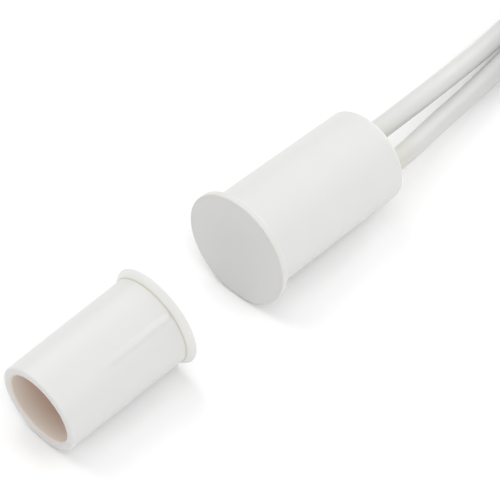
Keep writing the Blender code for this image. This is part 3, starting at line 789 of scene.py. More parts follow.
def turned_rings(
    outline: np.ndarray, angles: np.ndarray, lift: np.ndarray | float = 0.0
) -> np.ndarray:
    """Turns an outline about its height axis.

    Point (i, j) is ((r_i + lift_ij) cos a_j, (r_i + lift_ij) sin a_j, h_i).

    Args:
        outline: (radius, height) points.
        angles: The angles that it is turned to.
        lift: What is added to the radius of each point.

    Returns:
        Rings of points.
    """
    radius = np.broadcast_to(outline[:, :1] + lift, (len(outline), len(angles)))
    height = np.broadcast_to(outline[:, 1:], radius.shape)
    return np.stack([radius * np.cos(angles), radius * np.sin(angles), height], axis=2)


def tube_rings(path: np.ndarray, radius: np.ndarray | float, columns: int) -> np.ndarray:
    """Carries a circle along a path without twisting it.

    The side direction starts level, and at each point loses its part along the path's direction
    there, which keeps it from turning round the path. Each ring is the path's point plus the
    radius times (cos a of the side direction + sin a of the one square to it).

    Args:
        path: The centre line's points.
        radius: The tube's radius, or one for each point.
        columns: How many points go round.

    Returns:
        Rings of points.
    """
    ahead = np.gradient(path, axis=0)
    ahead /= np.linalg.norm(ahead, axis=1)[:, None]
    sides = np.empty_like(ahead)
    side = np.cross(ahead[0], (0.0, 0.0, 1.0))
    if np.linalg.norm(side) < 1e-6:
        side = np.array([1.0, 0.0, 0.0])
    for i, direction in enumerate(ahead):
        side = side - direction * side.dot(direction)
        side /= np.linalg.norm(side)
        sides[i] = side
    square = np.cross(ahead, sides)
    a = all_round(columns)
    ring = sides[:, None, :] * np.cos(a)[:, None] + square[:, None, :] * np.sin(a)[:, None]
    wide = np.broadcast_to(np.asarray(radius, float), (len(path),))
    return path[:, None, :] + wide[:, None, None] * ring


def rounded_tube(path: np.ndarray, radius: float, edge: float, columns: int) -> np.ndarray:
    """A tube whose cut ends have a small rounding.

    At each end the path gets a few points on a quarter circle of the edge's size: for an angle a,
    the point lies edge * (1 - sin a) back from the end and has radius - edge * (1 - cos a).

    Args:
        path: The centre line's points.
        radius: The tube's radius.
        edge: The rounding's radius.
        columns: How many points go round.

    Returns:
        Rings of points.
    """
    a = np.radians(np.linspace(0.0, 90.0, 4))
    back, shrink = edge * (1.0 - np.sin(a)), edge * (1.0 - np.cos(a))
    start, end = path[0], path[-1]
    first = (path[1] - start) / np.linalg.norm(path[1] - start)
    last = (path[-2] - end) / np.linalg.norm(path[-2] - end)
    line = np.vstack([start + back[::-1, None] * first, path[1:-1], end + back[:, None] * last])
    wide = np.concatenate([radius - shrink[::-1], np.full(len(path) - 2, radius), radius - shrink])
    return tube_rings(line, wide, columns)


def joined_curve(
    points: Sequence[Sequence[float]], spacing: float, steps: int = 60
) -> np.ndarray:
    """Even points on a centripetal Catmull-Rom curve through the given ones.

    Each stretch between two given points blends four of them by how far apart they are, to the
    power one half, so that the curve passes through each with no loop or overshoot.

    Args:
        points: What the curve passes through.
        spacing: About how far apart the new points are.
        steps: How many points are first taken on each stretch.

    Returns:
        The new points.
    """
    given = np.array(points, float)
    knots = np.vstack([2 * given[0] - given[1], given, 2 * given[-1] - given[-2]])
    dense = []
    for p0, p1, p2, p3 in zip(knots, knots[1:], knots[2:], knots[3:]):
        t0 = 0.0
        t1 = t0 + math.sqrt(np.linalg.norm(p1 - p0))
        t2 = t1 + math.sqrt(np.linalg.norm(p2 - p1))
        t3 = t2 + math.sqrt(np.linalg.norm(p3 - p2))
        t = np.linspace(t1, t2, steps, endpoint=False)[:, None]
        a1 = (t1 - t) / (t1 - t0) * p0 + (t - t0) / (t1 - t0) * p1
        a2 = (t2 - t) / (t2 - t1) * p1 + (t - t1) / (t2 - t1) * p2
        a3 = (t3 - t) / (t3 - t2) * p2 + (t - t2) / (t3 - t2) * p3
        b1 = (t2 - t) / (t2 - t0) * a1 + (t - t0) / (t2 - t0) * a2
        b2 = (t3 - t) / (t3 - t1) * a2 + (t - t1) / (t3 - t1) * a3
        dense.append((t2 - t) / (t2 - t1) * b1 + (t - t1) / (t2 - t1) * b2)
    return evenly(np.vstack([*dense, given[-1]]), spacing)


def evenly(curve: np.ndarray, spacing: float) -> np.ndarray:
    """The same line with its points about one spacing apart.

    Args:
        curve: The line's points.
        spacing: How far apart the new ones are, along the line.

    Returns:
        The new points.
    """
    run = np.concatenate([[0.0], np.cumsum(np.linalg.norm(np.diff(curve, axis=0), axis=1))])
    marks = np.linspace(0.0, run[-1], max(2, round(run[-1] / spacing) + 1))
    return np.column_stack([np.interp(marks, run, curve[:, k]) for k in range(3)])


def eased(curve: np.ndarray, passes: int, held: int) -> np.ndarray:
    """Takes the small waves out of a line of even points, as a lead's own stiffness does.

    In each pass a point moves half way to the middle of its two neighbours, times a share that is
    1 along the line and falls evenly to 0 over its last points. Both ends stay.

    Args:
        curve: The line's points.
        passes: How often every point moves.
        held: How many points the share takes to fall to 0 at the far end.

    Returns:
        The new points.
    """
    line = curve.copy()
    share = np.clip(np.arange(len(line) - 2, 0, -1) / held, 0.0, 1.0)[:, None]
    for _ in range(passes):
        line[1:-1] += 0.5 * share * ((line[:-2] + line[2:]) / 2 - line[1:-1])
    return line


def length_of(curve: np.ndarray) -> float:
    """The length of a line of points."""
    return float(np.linalg.norm(np.diff(curve, axis=0), axis=1).sum())


# Capsules


@dataclass(frozen=True)
class Capsule:
    """The sizes that both moulded capsules have, and how such a capsule lies on its side.

    How it rests is worked out from the flange's back_edge, as for its solid. The rounding that
    shows there may be softer.
    """

    face_x: float
    face_y: float
    yaw: float
    body: float
    length: float
    draft: float
    wall: float
    lip: float
    thickness: float
    tail_edge: float
    face_wall: float = 0.8 * MM
    face_edge: float = 0.12 * MM
    back_edge: float = 0.1 * MM
    bore_draft: float = 0.08 * MM
    floor_fillet: float = 0.3 * MM
    mouth_chamfer: float = 0.3 * MM

    @property
    def flange(self) -> float:
        """The flange's radius."""
        return self.body + self.lip

    @property
    def tail(self) -> float:
        """The body's radius at its tail."""
        return self.body - self.draft

    @property
    def bore(self) -> float:
        """The bore's radius at its mouth."""
        return self.tail - self.wall

    def bore_at(self, height: float) -> float:
        """The bore's radius at a height over the face."""
        return self.bore - self.bore_draft * (self.length - height) / (self.length - self.face_wall)

    def droop(self) -> float:
        """Works out how it lies on its flange's back edge and its tail's edge.

        It is the slope of the line between the middles of the two edges' roundings, plus the
        angle whose sine is the difference of their radii over that line's length.

        Returns:
            The angle between its axis and the surface.
        """
        along = (self.length - self.tail_edge) - (self.thickness - self.back_edge)
        drop = (self.flange - self.back_edge) - (self.tail - self.tail_edge)
        slip = (self.back_edge - self.tail_edge) / math.hypot(along, drop)
        return math.atan2(drop, along) + math.asin(slip)

    def placing(self) -> Matrix:
        """Local Z runs from face to tail and local Y points up, at rest on the surface.

        Returns:
            The matrix from the capsule's own axes to the row's frame.
        """
        droop = self.droop()
        rise = (self.flange - self.back_edge) * math.cos(droop)
        rise += (self.thickness - self.back_edge) * math.sin(droop) + self.back_edge
        along = Vector((0.0, math.cos(droop), -math.sin(droop)))
        up = Vector((0.0, math.sin(droop), math.cos(droop)))
        turn = Matrix((up.cross(along), up, along)).transposed().to_4x4()
        place = Matrix.Translation((self.face_x, self.face_y, rise))
        return place @ Matrix.Rotation(self.yaw, 4, "Z") @ turn

    def placed(self, points: np.ndarray) -> np.ndarray:
        """Points from the capsule's own axes into the row's frame."""
        matrix = np.array(self.placing())
        return points @ matrix[:3, :3].T + matrix[:3, 3]

    def outline(self, root: np.ndarray) -> np.ndarray:
        """The capsule's outline from its face, round the flange, body and tail, into the bore.

        Args:
            root: The flange's back edge and the points where it meets the body.

        Returns:
            (radius, height) points.
        """
        floor = self.bore - self.bore_draft - self.floor_fillet
        edge, chamfer = self.tail_edge, self.mouth_chamfer
        return outline_of(
            [(HUB, 0.0)],
            rounding((self.flange - self.face_edge, self.face_edge), self.face_edge, -90, 0),
            root,
            rounding((self.tail - edge, self.length - edge), edge, 0, 90),
            rounding((self.bore + chamfer, self.length - chamfer), chamfer, 90, 180),
            rounding((floor, self.face_wall + self.floor_fillet), self.floor_fillet, 0, -90, 4),
            [(HUB, self.face_wall)],
        )


@dataclass(frozen=True)
class SwitchCapsule(Capsule):
    """The switch's closed capsule, with the resin that seals its tail round both leads."""

    face_x: float = 0.0
    face_y: float = 3.355 * MM
    yaw: float = 0.0
    body: float = 4.81 * MM
    length: float = 17.0 * MM
    draft: float = 0.18 * MM
    wall: float = 0.75 * MM
    lip: float = 0.85 * MM
    thickness: float = 0.65 * MM
    tail_edge: float = 0.3 * MM
    root_fillet: float = 0.3 * MM
    soft_back: float = 0.12 * MM
    rim_warmth: float = 0.18
    warm_width: float = 0.4 * MM
    recess: float = 0.5 * MM
    resin_depth: float = 3.6 * MM
    resin_wall: float = 0.45 * MM
    fit: float = 0.1 * MM
    upper_exit: tuple[float, float] = (1.15 * MM, 0.2 * MM)
    lower_bearing: float = math.radians(199)
    meniscus: float = 0.28 * MM
    creep: float = 0.35 * MM
    face_gap: float = 0.005 * MM
    front_gap: float = 0.02 * MM
    columns: int = 320
    resin_rings: int = 70
    crowding: float = 1.6

    def exits(self) -> tuple[tuple[float, float], tuple[float, float]]:
        """Where both leads stand in the cross-section, the lower one near the resin's edge.

        Returns:
            The upper lead's place and the lower one's.
        """
        reach = self.bore - self.fit - self.resin_wall - (LEAD_RADIUS + self.fit)
        turn = self.lower_bearing
        return self.upper_exit, (reach * math.cos(turn), reach * math.sin(turn))

    def housing(self) -> bpy.types.Object:
        """The moulded shell.

        A warm cast is strongest at the rim of its face and falls off as exp(-(d / w)^2), for d the
        distance from the rim and w the cast's width.

        Returns:
            The shell.
        """
        back = self.soft_back
        centre = (self.body + self.root_fillet, self.thickness + self.root_fillet)
        outline = self.outline(np.vstack([
            rounding((self.flange - back, self.thickness - back), back, 0, 90),
            rounding(centre, self.root_fillet, -90, -180, 6),
        ]))
        angles = all_round(self.columns)
        rings = self.placed(turned_rings(outline, angles))
        off = (outline - (self.flange, 0.0)) / self.warm_width
        dark_line = self.rim_warmth * np.exp(-(off[:, 0] ** 2 + off[:, 1] ** 2))
        numbers = {"dark_line": at_points(dark_line, len(angles))}
        return piece(
            "switch_housing_skin", [Skin(rings)], WHITE_PLASTIC, ["switch_housing"], numbers=numbers
        )

    def resin(self) -> bpy.types.Object:
        """The resin plug. Its free face creeps up the wall and up each lead.

        The free face's height is the fill level plus the meniscus times exp(-d / creep), summed
        for d the distance to the wall and to each lead's side. Its ring at share s of the way in
        has the radius reach * (1 - s^crowding), so that rings lie closest at the wall, and the
        last one is the hub.

        Returns:
            The plug.
        """
        level = self.length - self.recess
        reach = self.bore_at(level) - self.face_gap
        angles = all_round(self.columns // 2)
        share = np.linspace(0.0, 1.0, self.resin_rings)
        radii = np.maximum(reach * (1.0 - share**self.crowding), HUB)
        x = radii[:, None] * np.cos(angles)
        y = radii[:, None] * np.sin(angles)
        height = np.full(x.shape, level)
        height += self.meniscus * np.exp(-(reach - radii)[:, None] / self.creep)
        for lead_x, lead_y in self.exits():
            gap = np.maximum(np.hypot(x - lead_x, y - lead_y) - LEAD_RADIUS, 0.0)
            height += self.meniscus * np.exp(-gap / self.creep)
        face = np.stack([x, y, height], axis=2)
        front = level - self.resin_depth
        start = np.array([(HUB, front), (self.bore_at(front) - self.front_gap, front)])
        rings = self.placed(np.concatenate([turned_rings(start, angles), face]))
        return piece("potting_resin_skin", [Skin(rings)], RESIN, ["potting_resin"])


@dataclass(frozen=True)
class CrushRibs:
    """Ribs along the magnet capsule that grip the drilled hole."""

    count: int = 3
    first: float = math.radians(50.6)
    width: float = 1.1 * MM
    height: float = 0.26 * MM
    start: float = 0.84 * MM
    full: float = 1.2 * MM
    end: float = 9.4 * MM
    fine_share: float = 1.5

    def middles(self) -> np.ndarray:
        """Each rib's angle, as one column."""
        return self.first + TURN * np.arange(self.count)[:, None] / self.count

    def lift(self, height: np.ndarray, angles: np.ndarray, body: float) -> np.ndarray:
        """How far the ribs raise the body.

        A rib's section is (1 - u^2)^2 inside |u| < 1, where u is the distance from its middle over
        half its width. It rises smoothly at the flange, and falls off towards the mouth as
        f (2 - f), with f going evenly from 1 to 0.

        Args:
            height: Each ring's height over the face.
            angles: Each column's angle.
            body: The body's radius.

        Returns:
            The lift at each point.
        """
        fall = np.clip((self.end - height) / (self.end - self.full), 0.0, 1.0)
        along = smooth_step((height - self.start) / (self.full - self.start)) * fall * (2.0 - fall)
        off = (angles - self.middles() + math.pi) % TURN - math.pi
        u = np.clip(np.abs(off * body / (self.width / 2)), 0.0, 1.0)
        return self.height * along[:, None] * ((1.0 - u**2) ** 2).sum(axis=0)

    def columns(self, body: float, plain: int, fine: int) -> np.ndarray:
        """Angles that lie closer together over the ribs and a little past their sides.

        Args:
            body: The body's radius.
            plain: How many even columns there are.
            fine: How many more each rib gets.

        Returns:
            The angles in order.
        """
        half = self.fine_share * self.width / 2 / body
        extra = self.middles() + np.linspace(-half, half, fine)
        return np.unique(np.round(np.concatenate([all_round(plain), extra.ravel()]) % TURN, 5))


@dataclass(frozen=True)
class MagnetCapsule(Capsule):
    """The magnet's open capsule, with its ribs, the magnet and its glue."""

    face_x: float = -0.23 * MM
    face_y: float = -6.305 * MM
    yaw: float = math.pi - math.radians(1.8)
    body: float = 4.435 * MM
    length: float = 14.05 * MM
    draft: float = 0.07 * MM
    wall: float = 0.84 * MM
    lip: float = 0.54 * MM
    thickness: float = 0.62 * MM
    tail_edge: float = 0.22 * MM
    bead: float = 0.82 * MM
    bead_turn: tuple[float, float] = (24.0, 50.0)
    bead_steps: int = 14
    crease_width: float = 0.07 * MM
    crease_steps: tuple[float, ...] = (0.3, 0.6, 1.0, 1.5)
    magnet_length: float = 7.0 * MM
    magnet_chamfer: float = 0.3 * MM
    glue: float = 0.3 * MM
    glue_rise: float = 1.5 * MM
    fine: float = 0.05 * MM
    near_tail: float = 0.01 * MM
    columns: int = 250
    rib_columns: int = 16
    rod_columns: int = 160
    glue_columns: int = 120
    ribs: CrushRibs = field(default_factory=CrushRibs)

    def root(self) -> np.ndarray:
        """The flange's back as one round bead down to the body, and the fine crease between them,
        where a dark line of painted shade goes.

        The bead is an arc of radius lip / (cos a - cos b), for a and b its first and last angle.
        It ends on the body, and from there the crease's few points run along the body, each at one
        of the crease steps times its width.

        Returns:
            (radius, height) points.
        """
        first, last = (math.radians(turn) for turn in self.bead_turn)
        radius = self.lip / (math.cos(first) - math.cos(last))
        centre = (self.body - radius * math.cos(last), self.bead - radius * math.sin(last))
        dark_line = self.bead + np.array(self.crease_steps) * self.crease_width
        return np.vstack([
            rounding(centre, radius, *self.bead_turn, self.bead_steps),
            np.column_stack([np.full(len(dark_line), self.body), dark_line]),
        ])

    def housing(self) -> bpy.types.Object:
        """The moulded shell.

        Each point keeps how deep in the bore it lies in millimetres, for the bore's painted shade,
        how near the crease under the flange, for its line of painted shade, and whether it is on the
        flange, which is painted paler as painted light.

        Returns:
            The shell.
        """
        outline = self.outline(self.root())
        radii, heights = outline.T
        angles = self.ribs.columns(self.body, self.columns, self.rib_columns)
        on_body = (radii > self.tail - self.near_tail) & (radii < self.flange - self.lip / 2)
        lift = self.ribs.lift(heights, angles, self.body) * on_body[:, None]
        rings = self.placed(turned_rings(outline, angles, lift))
        past_tail = np.arange(len(outline)) > np.argmax(heights)
        in_bore = (radii <= self.bore + self.mouth_chamfer) & past_tail
        at_rings = {
            "bore_depth": np.where(in_bore, (self.length - heights) / MM, 0.0),
            # Painted shade: a dark line along the crease under the flange.
            "dark_line": np.exp(-(((heights - self.bead) / self.crease_width) ** 2)) * ~past_tail,
            # Painted light: the flange is painted paler.
            "flange_light": ((radii > self.body) & (heights > 0.0)).astype(float),
        }
        numbers = {name: at_points(values, len(angles)) for name, values in at_rings.items()}
        return piece(
            "magnet_housing_skin", [Skin(rings)], BORE_PLASTIC, ["magnet_housing"], numbers=numbers
        )

    def magnet(self) -> bpy.types.Object:
        """The magnet as a ground rod with rounded ends.

        Returns:
            The rod.
        """
        radius = self.bore - self.bore_draft - self.fine - self.glue
        start = self.face_wall + 2 * self.fine + self.glue
        end = start + self.magnet_length
        edge = self.magnet_chamfer
        outline = outline_of(
            [(HUB, start)],
            rounding((radius - edge, start + edge), edge, -90, 0, 6),
            rounding((radius - edge, end - edge), edge, 0, 90, 6),
            [(HUB, end)],
        )
        rings = self.placed(turned_rings(outline, all_round(self.rod_columns)))
        return piece("magnet_rod", [Skin(rings)], MAGNET_ALLOY, ["magnet"])

    def glue_bed(self) -> bpy.types.Object:
        """The glue: a cup under the magnet whose lip runs up unevenly between it and the wall.

        At angle a the lip lies lower by the glue's thickness times
        0.6 + 0.35 sin(2 a + 1) + 0.2 sin(5 a), and that share falls to 0 at the magnet's seat.

        Returns:
            The glue.
        """
        cup = self.bore - self.bore_draft - self.fine
        inner = cup - self.glue + self.fine
        floor = self.face_wall + self.fine
        seat = floor + self.glue
        rise = seat + self.glue_rise
        fillet = self.floor_fillet
        outline = outline_of(
            [(HUB, floor)],
            rounding((cup - fillet, floor + fillet), fillet, -90, 0, 4),
            [(cup, rise), (cup - 0.3 * self.glue, rise - 0.25 * self.glue)],
            [(inner, rise - self.glue), (inner, seat), (HUB, seat)],
        )
        angles = all_round(self.glue_columns)
        rings = turned_rings(outline, angles)
        share = np.clip((outline[:, 1] - seat) / (rise - seat), 0.0, 1.0)[:, None]
        waves = 0.6 + 0.35 * np.sin(2 * angles + 1.0) + 0.2 * np.sin(5 * angles)
        rings[:, :, 2] -= share * self.glue * waves
        return piece("magnet_glue_bed", [Skin(self.placed(rings))], MAGNET_GLUE, ["magnet_glue"])


# Leads, their hank and its tie


@dataclass
class Hank:
    """Where the spare lead lies: both leads side by side in long turns, layer on layer.

    A turn goes along the left run, round the far fold, back along the right run and round the
    near fold, where it climbs one pitch. The upper lead has the outer lane.
    """

    left_lane_x: float = -4.0 * MM
    start_y: float = 52.6 * MM
    lead_in: float = 1.6 * MM
    fold: float = 6.0 * MM
    pitch: float = 2.05 * MM
    layers: int = 3
    end_inset: float = 6.0 * MM
    climb: float = 0.7
    lead_radius: float = LEAD_RADIUS
    fine: float = 0.05 * MM
    tie_width: float = 2.4 * MM
    tie_thickness: float = 0.45 * MM
    tie_hump: float = 0.95
    run: float = 0.0

    @property
    def outer_lane(self) -> float:
        """The outer lane's radius in the folds."""
        return self.fold + self.pitch

    @property
    def middle_x(self) -> float:
        """The folds' middle."""
        return self.left_lane_x + self.outer_lane

    @property
    def half_section(self) -> float:
        """Half of the two lanes' width together."""
        return self.pitch / 2 + self.lead_radius + self.fine

    @property
    def base(self) -> float:
        """The height of the lowest turns' centre lines."""
        return self.lead_radius + self.fine

    @property
    def top(self) -> float:
        """The height over the highest turns."""
        return self.layers * self.pitch + self.fine

    @property
    def tie_at(self) -> tuple[float, float]:
        """Where the tie stands on the surface."""
        return self.middle_x - self.fold - self.pitch / 2, self.start_y + self.run / 2

    def size_for(self, spare: float) -> None:
        """Sets the runs' length so that the outer lead ends a little before a run's end."""
        whole = self.layers - 1
        self.run = (spare + self.end_inset - whole * TURN * self.outer_lane) / (2 * whole + 1)

    def entry(self, lane: float) -> list[tuple[float, float, float]]:
        """The points through which a lead comes straight into its lane."""
        x = self.middle_x - lane
        return [(x, self.start_y - self.lead_in, self.base), (x, self.start_y, self.base)]

    def turns(self, lane: float, gone: np.ndarray) -> np.ndarray:
        """Points on a lane after given lengths of lead.

        With t the angle turned within the turn, c the length gone along the left run, and b that
        back along the right one, a point is (middle - r cos t, start + c - b + r sin t). Its
        height is one pitch for each whole turn, with a smooth step over the first part of the
        near fold. Where it crosses the tie's strap it rises by the strap's thickness times
        exp(-(d / w)^4), for d the distance from the strap's middle and w the hump times its width.

        Args:
            lane: The lane's radius in the folds.
            gone: Lengths of lead since the start of the hank.

        Returns:
            The points.
        """
        half_turn = math.pi * lane
        whole, along = np.divmod(gone, 2 * (self.run + half_turn))
        out = np.minimum(along, self.run)
        far = np.clip(along - self.run, 0.0, half_turn) / lane
        back = np.clip(along - self.run - half_turn, 0.0, self.run)
        near = np.clip(along - 2 * self.run - half_turn, 0.0, half_turn) / lane
        x = self.middle_x - lane * np.cos(far + near)
        y = self.start_y + out - back + lane * np.sin(far + near)
        z = self.base + self.pitch * (whole + smooth_step(near / (self.climb * math.pi)))
        off = (y - self.tie_at[1]) / (self.tie_hump * self.tie_width)
        z += self.tie_thickness * np.exp(-(off**4)) * (x < self.middle_x)
        return np.column_stack([x, y, z])


@dataclass
class Lead:
    """One insulated lead with its stripped end."""

    letter: str
    exit_at: tuple[float, float]
    route: Sequence[tuple[float, float, float]]
    lane: float
    finish: Insulation
    full_length: float = LEAD_LENGTH
    stripped: float = 4.0 * MM
    radius: float = LEAD_RADIUS
    columns: int = 32
    cut_edge: float = 0.06 * MM
    core: float = 0.38 * MM
    around: int = 6
    strand_start: float = 1.0 * MM
    strand_lay: float = 0.25
    strand_edge: float = 0.04 * MM
    strand_uneven: float = 0.01
    grip: float = 1.4 * MM
    straight: float = 1.0 * MM
    easing: int = 120
    held: int = 30
    curve_step: float = 0.3 * MM
    wound_points: int = 1200
    mesh_step: float = 0.35 * MM
    path_step: float = 0.8 * MM

    def open_path(self, capsule: SwitchCapsule, hank: Hank) -> np.ndarray:
        """The lead's line from inside the resin to where it reaches the hank.

        Args:
            capsule: The capsule that the lead leaves.
            hank: The hank that it winds into.

        Returns:
            Even points along the line.
        """
        level = capsule.length - capsule.recess - self.grip
        heights = (level, capsule.length, capsule.length + self.straight)
        inside = capsule.placed(np.array([(*self.exit_at, height) for height in heights]))
        line = np.vstack([inside, np.array(self.route) * MM, hank.entry(self.lane)])
        return eased(joined_curve(line, self.curve_step), self.easing, self.held)

    def spare(self, capsule: SwitchCapsule, hank: Hank) -> float:
        """The length that is left for the hank. What the resin holds doesn't count."""
        outside = length_of(self.open_path(capsule, hank)) - (capsule.recess + self.grip)
        return self.full_length - self.stripped - outside

    def whole_path(self, capsule: SwitchCapsule, hank: Hank) -> np.ndarray:
        """The whole insulated lead's line, from inside the resin to its bare end.

        Args:
            capsule: The capsule that the lead leaves.
            hank: The hank that it winds into.

        Returns:
            Even points along the lead.
        """
        gone = np.linspace(0.0, self.spare(capsule, hank), self.wound_points)
        line = np.vstack([self.open_path(capsule, hank), hank.turns(self.lane, gone)])
        return evenly(line, self.mesh_step)

    def strands(self, place: np.ndarray, heading: np.ndarray) -> list[Skin]:
        """The tinned strands, laid round one in the middle.

        Strand n of those around has its line 2/3 of the core's radius from the axis, at the angle
        n / around of a turn plus the lay, which grows evenly over the bare length.

        Args:
            place: Where the bare end begins.
            heading: The direction in which it points.

        Returns:
            One skin for each strand.
        """
        strand = self.core / 3
        run = np.linspace(-self.strand_start, self.stripped, 40)
        side = np.cross(heading, (0.0, 0.0, 1.0))
        over = np.cross(side, heading)
        skins = []
        for number in range(self.around + 1):
            angle = TURN * (number / self.around + self.strand_lay * run / self.stripped)
            off = 0.0 if number == self.around else 2 * strand
            end = run * (1.0 - self.strand_uneven * (number % 3))
            line = place + end[:, None] * heading
            line = line + off * (np.cos(angle)[:, None] * side + np.sin(angle)[:, None] * over)
            skins.append(Skin(rounded_tube(line, strand, self.strand_edge, 14)))
        return skins

    def build(self, capsule: SwitchCapsule, hank: Hank) -> bpy.types.Object:
        """Args:
            capsule: The capsule that the lead leaves.
            hank: The hank that it winds into.

        Returns:
            The insulation.
        """
        path = self.whole_path(capsule, hank)
        rings = rounded_tube(path, self.radius, self.cut_edge, self.columns)
        node = f"lead_{self.letter}"
        nodes = [node, "lead_hank"] if self.letter == "a" else [node]
        sleeve = piece(f"{node}_insulation", [Skin(rings)], self.finish, nodes, lay=True)
        place = path[-1]
        heading = (path[-1] - path[-2]) / np.linalg.norm(path[-1] - path[-2])
        bare = piece(
            f"{node}_strands", self.strands(place, heading), TINNED_COPPER, [f"{node}_stripped_end"]
        )
        tip = place + self.stripped * heading
        line = np.vstack([path, tip])
        capsule.placed(np.array([(*self.exit_at, capsule.length - capsule.recess)]))[0]
        2 * self.radius
        evenly(line, self.path_step).tolist()
        return sleeve


@dataclass
class HankTie:
    """The small cable tie round the hank's left run: a toothed strap, its head and cut tail."""

    hank: Hank
    side_gap: float = 0.3 * MM
    step: float = 0.08 * MM
    corner: float = 2.5
    edge_power: float = 0.35
    tooth: float = 0.5 * MM
    tooth_depth: float = 0.05 * MM
    toothed_share: float = 0.72
    head: tuple[float, float, float] = (3.4 * MM, 3.196 * MM, 1.6 * MM)
    head_power: float = 9.0
    tail: tuple[float, float, float] = (1.7 * MM, 1.156 * MM, 0.16 * MM)
    tail_at: tuple[float, float] = (0.34 * MM, 0.752 * MM)
    tail_power: float = 6.0

    @property
    def strap_top(self) -> float:
        """The underside of the strap over the hank."""
        return self.hank.top + self.hank.tie_thickness + 2 * self.hank.fine

    def loop(self) -> tuple[np.ndarray, np.ndarray]:
        """The strap's middle line as a rounded rectangle round the run, and its outward side.

        Each corner is a quarter circle, and even points are taken along the whole line. The
        outward side at a point is its direction turned by a quarter.

        Returns:
            Points and outward directions.
        """
        thick = self.hank.tie_thickness
        corner = self.corner * thick
        side = self.hank.half_section + self.side_gap + thick / 2 - corner
        low, high = thick / 2 + corner, self.strap_top + thick / 2 - corner
        corners = [
            rounding(centre, corner, 90 * number - 90, 90 * number, 8)
            for number, centre in enumerate(
                [(side, low), (side, high), (-side, high), (-side, low)]
            )
        ]
        line = np.vstack([*corners, corners[0][:1]])
        flat = np.column_stack([line[:, 0], np.zeros(len(line)), line[:, 1]])
        even = evenly(flat, self.step)[:-1]
        ahead = np.roll(even, -1, axis=0) - np.roll(even, 1, axis=0)
        ahead /= np.linalg.norm(ahead, axis=1)[:, None]
        return even, np.cross((0.0, 1.0, 0.0), ahead)

    def strap(self) -> Skin:
        """The strap: a rounded flat section carried round the loop, with teeth on its outside.

        The section is a superellipse: the cosine and sine to the edge power, with their signs
        kept. On the outside the middle of the strap sinks by the teeth's depth times a saw wave.

        Returns:
            The strap's skin.
        """
        width, thick = self.hank.tie_width, self.hank.tie_thickness
        line, out = self.loop()
        a = all_round(36)
        across = signed_power(np.cos(a), self.edge_power) * width / 2
        through = signed_power(np.sin(a), self.edge_power) * thick / 2
        saw = (np.arange(len(line)) * self.step / self.tooth) % 1.0
        middle = (np.abs(across) < self.toothed_share * width / 2) & (through > 0)
        depth = through[None, :] - self.tooth_depth * saw[:, None] * middle[None, :]
        rings = line[:, None, :] + out[:, None, :] * depth[:, :, None]
        rings[:, :, 1] += across
        return Skin(rings + np.array([*self.hank.tie_at, 0.0]), Ends.JOINED)

    def block(self, size: Sequence[float], centre: Sequence[float], power: float) -> Skin:
        """A block with rounded edges.

        Its rings are superellipses, and the ring at height share s is drawn in by
        (1 - |s|^n)^(1/n), so that the top and bottom edges are rounded too.

        Args:
            size: Its three sides.
            centre: Its middle.
            power: How square it is.

        Returns:
            The block's skin.
        """
        level = signed_power(np.sin(np.linspace(-0.5, 0.5, 22)[1:-1] * math.pi), 0.5)
        inset = (1.0 - np.abs(level) ** power) ** (1.0 / power)
        a = all_round(64)
        x, y = signed_power(np.cos(a), 2 / power), signed_power(np.sin(a), 2 / power)
        z = np.broadcast_to(level[:, None], (len(level), len(a)))
        rings = np.stack([inset[:, None] * x, inset[:, None] * y, z], axis=2)
        return Skin(rings * np.array(size) / 2 + np.array(centre))

    def build(self) -> bpy.types.Object:
        """The tie as one object: strap, head and the strap's cut tail in the head's slot.

        Returns:
            The tie.
        """
        middle = self.strap_top + self.hank.fine + self.head[2] / 2
        x, y = self.hank.tie_at
        head = self.block(self.head, (x, y, middle), self.head_power)
        tail_place = (x + self.tail_at[0], y, middle + self.tail_at[1])
        tail = self.block(self.tail, tail_place, self.tail_power)
        return piece("hank_tie_strap", [self.strap(), head, tail], TIE_PLASTIC, ["hank_tie"])


# What the camera sees the object in


@dataclass(frozen=True)
class Softbox:
    """A square soft light that faces the object.

    Attributes:
        name: The light's name.
        azimuth: Where it stands, in degrees from -Y towards +X.
        elevation: How high, in degrees.
        size: Its side in metres.
        power: Its power in watts.
        distance: How far away it stands, in metres.
    """

    name: str
    azimuth: float
    elevation: float
    size: float
    power: float
    distance: float

    def build(self) -> None:
        """Sets the light up."""
        data = bpy.data.lights.new(self.name, "AREA")
        data.size = self.size
        data.energy = self.power
        made = in_scene(self.name, data)
        a, e = math.radians(self.azimuth), math.radians(self.elevation)
        towards = Vector((math.sin(a) * math.cos(e), -math.cos(a) * math.cos(e), math.sin(e)))
        made.rotation_mode = "QUATERNION"
        made.rotation_quaternion = towards.to_track_quat("Z", "Y")
        made.location = towards * self.distance


